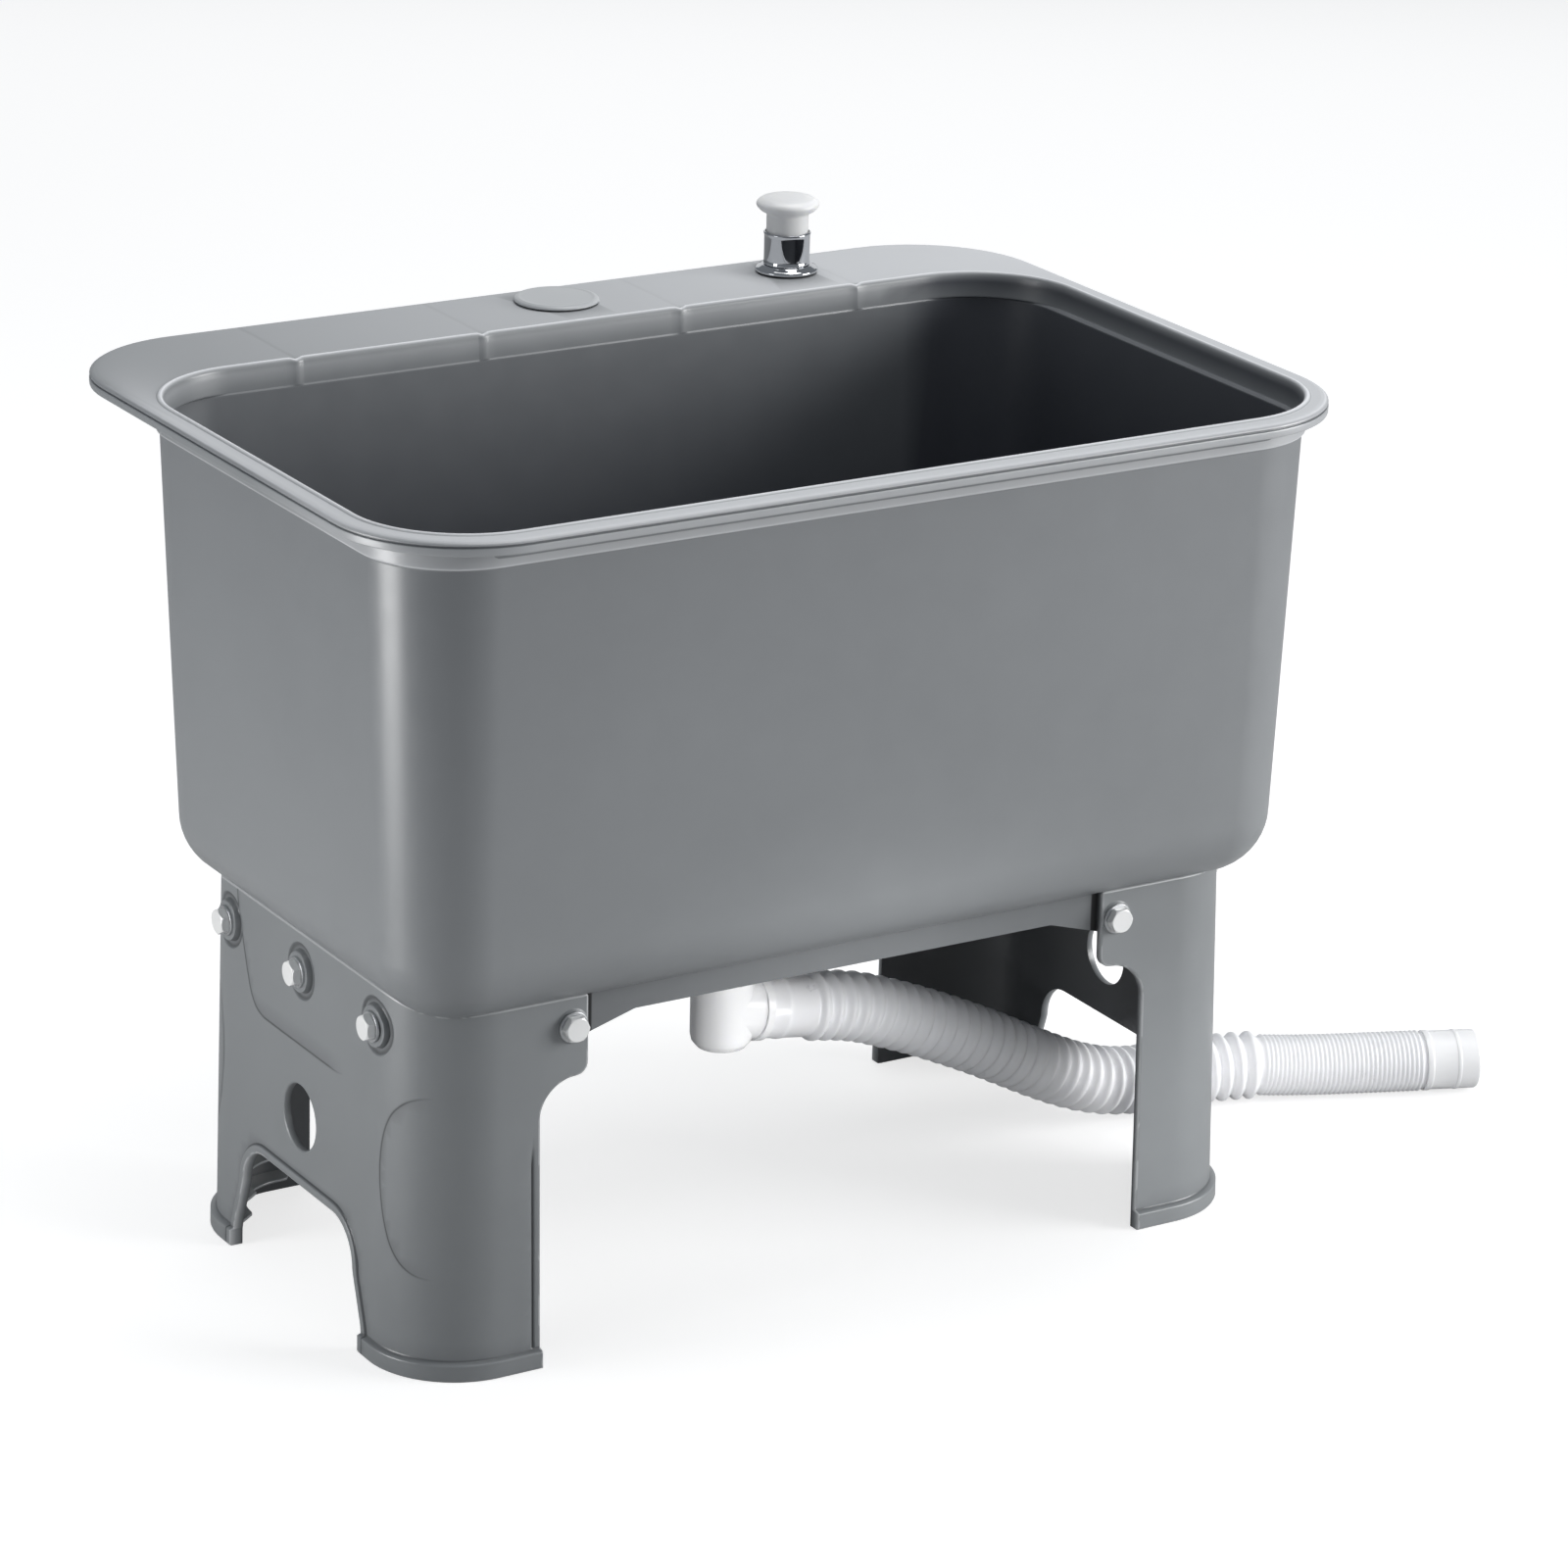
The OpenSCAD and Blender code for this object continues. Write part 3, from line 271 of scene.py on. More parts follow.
@dataclass(frozen=True)
class Finish:
    """One finish, built as a Principled material on a shared group.

    Attributes:
        slot: The record's material slot.
        colour: Base colour, linear.
        roughness: Middle roughness.
        metal: Whether it is a metal.
        tone: Strength of tone changes or clouds.
        grain: Scale of the fine grain, per metre.
        bump: Height of the grain in metres.
        scuff: Strength of scuffs.
        coat: Clear coat weight.
        through: Share of light that passes under the skin.
        sheen: Specular level.
    """

    slot: str
    colour: Colour
    roughness: float = 0.4
    metal: bool = False
    tone: float = 0.05
    grain: float = 900.0
    bump: float = 0.00002
    scuff: float = 0.5
    coat: float = 0.0
    through: float = 0.0
    sheen: float = 0.5

    def build(self, effects: SharedEffects) -> bpy.types.Material:
        """Make the material.

        Args:
            effects: The shared node groups.

        Returns:
            The material.
        """
        made = bpy.data.materials.new(self.slot)
        made.use_nodes = True
        made.node_tree.nodes.clear()
        wiring = Wiring(made.node_tree)
        group = wiring.node("ShaderNodeGroup", node_tree=effects.drawn if self.metal else effects.moulded)
        group.inputs["Colour"].default_value = (*self.colour, 1.0)
        group.inputs["Roughness"].default_value = self.roughness
        if self.metal:
            group.inputs["Clouds"].default_value = self.tone
        else:
            group.inputs["Tone"].default_value = self.tone
            group.inputs["Grain"].default_value = self.grain
            group.inputs["Scuff"].default_value = self.scuff
        colour = self.tinted(wiring, group.outputs["Colour"])
        height = self.raised(wiring, group.outputs["Height"])
        bump = wiring.node("ShaderNodeBump", {"Height": height, "Distance": self.bump, "Strength": 1.0})
        rough = self.matted(wiring, group.outputs["Roughness"])
        skin = wiring.node("ShaderNodeBsdfPrincipled", {
            "Base Color": colour, "Roughness": rough, "Normal": bump.outputs[0]})
        skin.inputs["Metallic"].default_value = 1.0 if self.metal else 0.0
        skin.inputs["Specular IOR Level"].default_value = self.sheen
        skin.inputs["Coat Weight"].default_value = self.coat
        skin.inputs["Coat Roughness"].default_value = 0.12
        if self.through:
            skin.inputs["Subsurface Weight"].default_value = self.through
            skin.inputs["Subsurface Radius"].default_value = (0.008, 0.008, 0.009)
            skin.inputs["Subsurface Scale"].default_value = 0.6
        wiring.node("ShaderNodeOutputMaterial", {"Surface": skin.outputs[0]})
        return made

    def tinted(self, wiring: Wiring, colour: Socket) -> Socket:
        """Change the colour from place to place; the plain finish leaves it."""
        return colour

    def matted(self, wiring: Wiring, rough: Socket) -> Socket:
        """Change the roughness from place to place; the plain finish leaves it."""
        return rough

    def raised(self, wiring: Wiring, height: Socket) -> Socket:
        """Change the height from place to place; the plain finish leaves it."""
        return height


@dataclass(frozen=True)
class BasinFinish(Finish):
    """The basin's grey, with faint sunk lines across the deck where the ribs below have shrunk, darkened by
    painted shade, and painted light and shade from the piece's tone values.

    Attributes:
        line_x: Places of the lines along the sink.
        line_w: Half width of a line.
        deck_y: The deck's inner edge.
        deck_z: Height above which the lines show.
        flat_z: Height above which the flat top is matt.
        matt: How much rougher the flat top is.
        painted_shade_colour: Colour of the painted shade in the lines.
        line_share: How much of that colour they take.
        line_depth: How many grains deep they are.
        darkest: Colour of the painted shade at tone -1.
        lightest: Colour of the painted highlight at tone 1.
    """

    line_x: tuple[float, ...] = (-0.179, -0.065, 0.060, 0.175)
    line_w: float = 0.0022
    deck_y: float = 0.136
    deck_z: float = 0.462
    flat_z: float = 0.4706
    matt: float = 0.36
    painted_shade_colour: Colour4 = (0.10, 0.105, 0.11, 1.0)
    line_share: float = 0.34
    line_depth: float = 10.0
    darkest: Colour4 = (0.018, 0.021, 0.036, 1.0)
    lightest: Colour4 = (0.80, 0.81, 0.83, 1.0)

    def marks(self, wiring: Wiring) -> Socket:
        """Mask of the sink lines: 1 within line_w of a line, on the deck behind the opening."""
        place = wiring.own_place()
        nearest: object = 1.0
        for x in self.line_x:
            away = wiring.maths("ABSOLUTE", wiring.maths("SUBTRACT", place[0], x), 0.0)
            nearest = wiring.maths("MINIMUM", away, nearest)
        on_line = wiring.remap(nearest, 0.0, self.line_w, 1.0, 0.0)
        behind = wiring.remap(place[1], self.deck_y - 0.004, self.deck_y)
        above = wiring.remap(place[2], self.deck_z - 0.002, self.deck_z)
        return wiring.maths("MULTIPLY", on_line, wiring.maths("MULTIPLY", behind, above))

    def tinted(self, wiring: Wiring, colour: Socket) -> Socket:
        """Paint shade into the sink lines a little, then paint shade or light by the piece's own tone value.
        """
        # Painted shade in the sink lines, which are also sunk by the bump.
        share = wiring.maths("MULTIPLY", self.marks(wiring), self.line_share)
        lined = wiring.blend(share, colour, self.painted_shade_colour)
        # The tone attribute holds painted light and shade: painted shade goes towards darkest, painted
        # highlight towards lightest.
        tone = wiring.node("ShaderNodeAttribute", attribute_name="tone").outputs["Fac"]
        darker = wiring.blend(wiring.maths("MULTIPLY", tone, -1.0), lined, self.darkest)
        return wiring.blend(tone, darker, self.lightest)

    def matted(self, wiring: Wiring, rough: Socket) -> Socket:
        """Make the flat top of the deck and the lip rougher."""
        place = wiring.own_place()
        on_top = wiring.remap(place[2], self.flat_z - 0.0006, self.flat_z)
        return wiring.maths("MULTIPLY_ADD", on_top, self.matt, rough)

    def raised(self, wiring: Wiring, height: Socket) -> Socket:
        """Sink the lines by several grains."""
        return wiring.maths("MULTIPLY_ADD", self.marks(wiring), -self.line_depth, height)


@dataclass(frozen=True)
class LegFinish(Finish):
    """The legs' grey, with painted shade at the foot of each step and on the inner face, and a painted
    highlight along the edges.

    Attributes:
        painted_shade_colour: Colour of the painted shade at line 1.
        line_share: How much of that colour it takes there.
        edge_highlight_colour: Colour of the painted highlight at line -1.
    """

    painted_shade_colour: Colour4 = (0.018, 0.020, 0.024, 1.0)
    line_share: float = 0.95
    edge_highlight_colour: Colour4 = (0.66, 0.67, 0.68, 1.0)

    def tinted(self, wiring: Wiring, colour: Socket) -> Socket:
        """Paint shade by the piece's own line value, or a painted highlight where that is negative."""
        line = wiring.node("ShaderNodeAttribute", attribute_name="line").outputs["Fac"]
        paler = wiring.blend(wiring.maths("MULTIPLY", line, -1.0), colour, self.edge_highlight_colour)
        return wiring.blend(wiring.maths("MULTIPLY", line, self.line_share), paler, self.painted_shade_colour)


@dataclass(frozen=True)
class RailFinish(Finish):
    """The rails' grey, with a painted shadow in the gap beside each leg's return.

    Attributes:
        gap: Least and greatest distance of the painted shadow band from the middle, along the sink.
        soft: Width over which its edges fade.
        gap_shadow_colour: Colour of the painted shadow in the gap.
    """

    gap: tuple[float, float] = (0.1545, 0.1595)
    soft: float = 0.0008
    gap_shadow_colour: Colour4 = (0.010, 0.010, 0.011, 1.0)

    def tinted(self, wiring: Wiring, colour: Socket) -> Socket:
        """Paint the shadow into the band between the two distances."""
        place = wiring.own_place()
        away = wiring.maths("ABSOLUTE", place[0], 0.0)
        after = wiring.remap(away, self.gap[0], self.gap[0] + self.soft)
        before = wiring.remap(away, self.gap[1] - self.soft, self.gap[1], 1.0, 0.0)
        return wiring.blend(wiring.maths("MULTIPLY", after, before), colour, self.gap_shadow_colour)


FINISHES: tuple[Finish, ...] = (
    BasinFinish("basin_plastic", (0.262, 0.274, 0.284), 0.34, tone=0.03, bump=0.000006, scuff=0.0,
                sheen=1.0),
    LegFinish("leg_plastic", (0.236, 0.248, 0.256), 0.33, tone=0.04, bump=0.000008, scuff=0.0, sheen=0.9),
    RailFinish("rail_plastic", (0.165, 0.173, 0.180), 0.42, tone=0.05, bump=0.000010, scuff=0.0),
    Finish("zinc_bolt", (0.95, 0.95, 0.94), 0.20, tone=0.03, grain=500.0, bump=0.000008, coat=0.7,
           sheen=1.0),
    Finish("washer_steel", (0.60, 0.61, 0.62), 0.34, metal=True, tone=0.12, bump=0.000010),
    Finish("nut_steel", (0.58, 0.59, 0.60), 0.36, metal=True, tone=0.12, bump=0.000010),
    Finish("cap_plastic", (0.48, 0.495, 0.505), 0.33, tone=0.03, bump=0.000010),
    Finish("black_rubber", (0.012, 0.012, 0.013), 0.72, tone=0.15, grain=1400.0, bump=0.00003, scuff=0.1),
    Finish("chrome_trim", (0.62, 0.63, 0.65), 0.045, metal=True, tone=0.012, bump=0.0000015),
    Finish("chrome_body", (0.62, 0.63, 0.65), 0.040, metal=True, tone=0.012, bump=0.0000015),
    Finish("bush_plastic", (0.74, 0.73, 0.68), 0.50, tone=0.04),
    Finish("pale_plastic", (0.82, 0.82, 0.82), 0.36, tone=0.01, bump=0.000006, scuff=0.1, through=0.3),
    Finish("stem_steel", (0.62, 0.63, 0.65), 0.22, metal=True, tone=0.06, bump=0.000006),
    Finish("clip_steel", (0.20, 0.20, 0.21), 0.42, metal=True, tone=0.15, bump=0.000010),
    Finish("spring_steel", (0.50, 0.51, 0.53), 0.28, metal=True, tone=0.10, bump=0.000006),
    Finish("brass_nut", (0.72, 0.52, 0.24), 0.30, metal=True, tone=0.12, bump=0.000010),
    Finish("waste_plastic", (0.74, 0.75, 0.75), 0.28, tone=0.02, bump=0.000008, through=0.1),
    Finish("nut_plastic", (0.80, 0.80, 0.80), 0.32, tone=0.02, bump=0.000012, through=0.1),
    Finish("basket_steel", (0.58, 0.59, 0.60), 0.24, metal=True, tone=0.08, bump=0.000010),
    Finish("elbow_plastic", (0.94, 0.94, 0.95), 0.24, tone=0.01, bump=0.000006, through=0.15),
    Finish("hose_plastic", (0.93, 0.93, 0.95), 0.30, tone=0.02, bump=0.000008, scuff=0.1, through=0.12),
    Finish("tail_plastic", (0.93, 0.93, 0.94), 0.30, tone=0.02, bump=0.000008, through=0.2),
)


@contextmanager
def editing(mesh: bpy.types.Mesh) -> Iterator[bmesh.types.BMesh]:
    """Open a mesh for editing, and write the changes back."""
    work = bmesh.new()
    work.from_mesh(mesh)
    yield work
    work.to_mesh(mesh)
    work.free()


def face_outwards(thing: bpy.types.Object) -> None:
    """Turn a closed piece's faces outwards."""
    with editing(thing.data) as work:
        bmesh.ops.recalc_face_normals(work, faces=work.faces)


class Shop:
    """What every sub-assembly needs: the finishes, and the steps that turn arrays into pieces."""

    def __init__(self) -> None:
        """Build the shared effects and every finish."""
        effects = SharedEffects()
        self.finishes = {finish.slot: finish.build(effects) for finish in FINISHES}

    def piece(self, name: str, points: Array, faces: Array | list, slot: str, body: Body, *nodes: str,
              shading: Shading = Shading.MOULDED,
              values: dict[str, Array] | None = None) -> bpy.types.Object:
        """Make one piece from points in millimetres.

        Args:
            name: The piece's name.
            points: Points, one a row.
            faces: Corners of each face, counterclockwise from outside.
            slot: The record's material slot.
            body: The body that it rides on.
            *nodes: The CAD nodes that it stands for.
            shading: How its edges are shaded.
            values: Named values at the points, for the finish.

        Returns:
            The object.
        """
        mesh = bpy.data.meshes.new(name)
        corners = faces.tolist() if isinstance(faces, np.ndarray) else faces
        mesh.from_pydata((np.asarray(points).reshape(-1, 3) * MM).tolist(), [], corners)
        for label, numbers in (values or {}).items():
            layer = mesh.attributes.new(label, "FLOAT", "POINT")
            layer.data.foreach_set("value", numbers.ravel().astype(np.float32))
        return self.finished(name, mesh, slot, body, *nodes, shading=shading)

    def finished(self, name: str, mesh: bpy.types.Mesh, slot: str, body: Body, *nodes: str,
                 shading: Shading = Shading.MOULDED) -> bpy.types.Object:
        """Merge a mesh's doubles, shade it, give it its finish and set it on its body."""
        with editing(mesh) as work:
            bmesh.ops.remove_doubles(work, verts=work.verts, dist=2e-6)
            bmesh.ops.dissolve_degenerate(work, edges=work.edges, dist=1e-7)
        made = bpy.data.objects.new(name, mesh)
        bpy.context.scene.collection.objects.link(made)
        mesh.materials.clear()
        mesh.materials.append(self.finishes[slot])
        self.shade(made, shading)
        if nodes:
            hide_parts(*nodes)
        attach(made, body.value)
        LOG.info("%s: %d faces on %s", name, len(mesh.polygons), body.value)
        return made

    @staticmethod
    def shade(thing: bpy.types.Object, shading: Shading) -> None:
        """Shade smooth, with edges past the shading's angle kept sharp."""
        mesh = thing.data
        mesh.polygons.foreach_set("use_smooth", np.ones(len(mesh.polygons), bool))
        if shading is not Shading.SOFT:
            mesh.set_sharp_from_angle(angle=math.radians(shading.value))
        mesh.update()

    def dressed(self, node: str, slot: str, body: Body, bevel: float, segments: int = 2) -> bpy.types.Object:
        """Stand a finished copy in a CAD node's place, with its edges rounded.

        Args:
            node: The CAD node.
            slot: The record's material slot.
            body: The body that it rides on.
            bevel: Width of the rounding in millimetres.
            segments: Steps across the rounding.

        Returns:
            The copy.
        """
        mesh = bpy.data.objects[node].data.copy()
        with editing(mesh) as work:
            bmesh.ops.remove_doubles(work, verts=work.verts, dist=4e-6)
            bmesh.ops.dissolve_limit(work, angle_limit=math.radians(0.6), verts=work.verts, edges=work.edges)
        old_normals = mesh.attributes.get("custom_normal")
        if old_normals:
            mesh.attributes.remove(old_normals)
        made = self.finished(node + "_made", mesh, slot, body, node, shading=Shading.MACHINED)
        rounding = made.modifiers.new("rounded edges", "BEVEL")
        rounding.width = bevel * MM
        rounding.segments = segments
        rounding.limit_method = "ANGLE"
        rounding.angle_limit = math.radians(Shading.MACHINED.value)
        return made

    def dress_all(self, rows: tuple[tuple[str, str, Body, float], ...], segments: int = 2) -> None:
        """Dress several nodes, each given by its name, slot, body and bevel."""
        for node, slot, body, bevel in rows:
            self.dressed(node, slot, body, bevel, segments)


def soften(stations: Array, reach: Array | float, steps: int = 3) -> Array:
    """Round the inner corners of a line of stations, each with any number of coordinates.

    A corner p becomes (1-t)^2 a + 2 t (1-t) p + t^2 b, where a and b lie on the runs before and
    after it, reach away from it, or 45 hundredths of the run where that is less.

    Args:
        stations: The line's points, one a row.
        reach: How far the rounding reaches along the runs, one value or one a corner.
        steps: Steps in each rounding.

    Returns:
        The rounded line's points.
    """
    before, corner, after = stations[:-2], stations[1:-1], stations[2:]
    back, ahead = before - corner, after - corner
    share_back = np.minimum(reach / np.linalg.norm(back, axis=1), 0.45)[:, None, None]
    share_ahead = np.minimum(reach / np.linalg.norm(ahead, axis=1), 0.45)[:, None, None]
    t = np.linspace(0.0, 1.0, steps + 1)[None, :, None]
    middle = corner[:, None, :]
    a, b = middle + back[:, None, :] * share_back, middle + ahead[:, None, :] * share_ahead
    curve = (1 - t) ** 2 * a + 2 * t * (1 - t) * middle + t ** 2 * b
    return np.concatenate([stations[:1], curve.reshape(-1, stations.shape[1]), stations[-1:]])


def soften_loop(outline: Array, reach: float, steps: int = 3) -> Array:
    """Round a closed outline's corners, all but its first."""
    return soften(np.concatenate([outline, outline[:1]]), reach, steps)[:-1]


def grid_faces(rows: int, columns: int, round_rows: bool, round_columns: bool) -> Array:
    """Four corners of each cell of a grid of points.

    Args:
        rows: Rows of points.
        columns: Points in a row.
        round_rows: Whether the last row joins the first.
        round_columns: Whether each row closes on itself.

    Returns:
        The faces, with normals along row direction crossed with the step to the next row.
    """
    i = np.arange(rows if round_rows else rows - 1)[:, None]
    j = np.arange(columns if round_columns else columns - 1)[None, :]
    below, above = i * columns, (i + 1) % rows * columns
    here, beside = j, (j + 1) % columns
    corners = np.broadcast_arrays(below + here, below + beside, above + beside, above + here)
    return np.stack(corners, axis=-1).reshape(-1, 4)


def spun(profile: Array, centre: Point, steps: int = 96) -> tuple[Array, Array]:
    """Turn a profile of (radius, height) about an upright axis.

    The point at angle a is (r cos a, r sin a, h) past the centre. The profile runs upwards on
    the outside, so that the faces point outwards.

    Args:
        profile: Radius and height, one a row, in millimetres.
        centre: A point on the axis.
        steps: Points round the axis.

    Returns:
        The points and the faces; a profile that starts and ends off the axis closes on itself.
    """
    a = np.arange(steps) * 2 * np.pi / steps
    r, h = profile[:, 0, None], profile[:, 1, None]
    points = np.stack([r * np.cos(a), r * np.sin(a), np.broadcast_to(h, (len(profile), steps))], axis=-1)
    closes = bool(profile[0, 0] > 1e-6 and profile[-1, 0] > 1e-6)
    return points.reshape(-1, 3) + np.array(centre), grid_faces(len(profile), steps, closes, True)


def extruded(outline: Array, along: Array, origin: Array, across: Array, up: Array) -> tuple[Array, list]:
    """Push a flat outline along a line.

    Args:
        outline: The outline's points in its own plane, one a row.
        along: The vector from the first end to the second.
        origin: Where the outline's zero lies at the first end.
        across: The outline's first direction.
        up: Its second direction.

    Returns:
        The points and the faces.
    """
    flat = origin + outline[:, :1] * across + outline[:, 1:2] * up
    count = len(outline)
    turn = np.sign(np.dot(np.cross(across, up), along)) * np.sign(signed_area(outline))
    sides = grid_faces(2, count, False, True)
    ends = [list(range(count))[::-1], list(range(count, 2 * count))]
    faces = sides.tolist() + ends
    if turn < 0:
        faces = [face[::-1] for face in faces]
    return np.concatenate([flat, flat + along]), faces


def smooth_step(distance: Array, width: float) -> Array:
    """Go from 1 inside to 0 outside across a width: 1 - (3 t^2 - 2 t^3), t from 0 to 1."""
    t = np.clip(distance / width + 0.5, 0.0, 1.0)
    return 1.0 - t * t * (3.0 - 2.0 * t)


def ramp(value: Array, start: float, width: float) -> Array:
    """0 up to start, 1 past start + width, and straight between."""
    return np.clip((value - start) / width, 0.0, 1.0)


def ridge(value: Array, middle: float, width: float) -> Array:
    """A bell curve of height 1: exp(-((value - middle) / width)^2)."""
    return np.exp(-((value - middle) / width) ** 2)


def rounded_over(share: Array) -> Array:
    """How far an edge of radius 1 falls away: 1 - sqrt(1 - (1 - share)^2), from 1 at 0 to 0 at 1."""
    return 1.0 - np.sqrt(np.clip(1.0 - (1.0 - share) ** 2, 0.0, 1.0))


def level_line(u: Array, z: float) -> Array:
    """Points at one height, as u and z."""
    return np.stack([u, np.full_like(u, z)], axis=1)


def even_points(outline: Array, spacing: float) -> Array:
    """Points at even distances along a closed outline."""
    closed = np.concatenate([outline, outline[:1]])
    run = np.concatenate([[0.0], np.cumsum(np.linalg.norm(np.diff(closed, axis=0), axis=1))])
    places = np.linspace(0.0, run[-1], max(8, int(run[-1] / spacing)), endpoint=False)
    return np.stack([np.interp(places, run, closed[:, k]) for k in range(2)], axis=1)


def grown(outline: Array, by: float) -> Array:
    """Move a counterclockwise outline's points outwards, square to its run."""
    run = np.roll(outline, -1, axis=0) - np.roll(outline, 1, axis=0)
    run = run / np.maximum(np.linalg.norm(run, axis=1, keepdims=True), 1e-9)
    return outline + by * np.stack([run[:, 1], -run[:, 0]], axis=1)


def outline_distance(points: Array, outline: Array) -> Array:
    """Distance from each point to a closed outline, negative inside.

    With t = clip((p-a).(b-a) / |b-a|^2, 0, 1) the distance to a side ab is |p - a - t(b-a)|; a
    point is inside where a level line from it crosses the outline an odd number of times.
    """
    a, b = outline, np.roll(outline, -1, axis=0)
    side = b - a
    squared = np.maximum(np.sum(side * side, axis=1), 1e-12)
    slope = side[:, 0] / np.where(np.abs(side[:, 1]) < 1e-9, 1e-9, side[:, 1])

    def part(some: Array) -> Array:
        """Signed distances of some of the points."""
        away = some[:, None] - a[None]
        t = np.clip(np.sum(away * side, axis=2) / squared, 0.0, 1.0)
        near = np.linalg.norm(away - t[..., None] * side, axis=2).min(axis=1)
        between = (a[:, 1] > some[:, 1:2]) != (b[:, 1] > some[:, 1:2])
        crossed = between & (some[:, :1] < slope * (some[:, 1:2] - a[:, 1]) + a[:, 0])
        return np.where(np.sum(crossed, axis=1) % 2 == 1, -near, near)

    return np.concatenate([part(some) for some in np.array_split(points, len(points) // 2000 + 1)])


def signed_area(outline: Array) -> float:
    """Area inside an outline, positive where it runs counterclockwise."""
    x, y = outline[:, 0], outline[:, 1]
    return float(0.5 * np.sum(x * np.roll(y, -1) - y * np.roll(x, -1)))


@dataclass(frozen=True)
class Softbox:
    """One rectangular light, hidden from the camera.

    Attributes:
        name: The light's name.
        place: Its place.
        aim: The point that it faces.
        size: Its width and height.
        power: Its power in watts.
        spread: How wide it shines, in degrees.
    """

    name: str
    place: Point
    aim: Point
    size: tuple[float, float]
    power: float
    spread: float = 180.0

    def hang(self) -> None:
        """Hang the light."""
        data = bpy.data.lights.new(self.name, "AREA")
        data.shape = "RECTANGLE"
        data.size, data.size_y = self.size
        data.energy = self.power
        data.spread = math.radians(self.spread)
        made = bpy.data.objects.new(self.name, data)
        made.location = self.place
        made.rotation_euler = (Vector(self.aim) - Vector(self.place)).to_track_quat("-Z", "Y").to_euler()
        made.visible_camera = False
        bpy.context.scene.collection.objects.link(made)


LIGHTS: tuple[Softbox, ...] = (
    Softbox("top light", (0.35, 0.15, 2.4), (0.0, 0.05, 0.3), (1.8, 1.2), 26.0),
    Softbox("left strip", (-1.13, 0.10, 0.30), (-0.25, -0.15, 0.26), (0.42, 0.6), 5.4),
    Softbox("right fill", (2.4, -1.9, 0.95), (0.0, -0.1, 0.2), (1.7, 1.4), 76.0),
    Softbox("back light", (1.7, 2.7, 1.15), (0.05, 0.1, 0.4), (3.2, 1.4), 8.0),
    Softbox("elbow light", (0.0, -1.0, 0.13), (0.0, 0.0, 0.11), (0.12, 0.08), 0.085, spread=22.0),
    Softbox("hose light", (-0.35, -1.1, 0.12), (0.37, 0.0, 0.03), (0.08, 0.06), 0.045, spread=16.0),
)


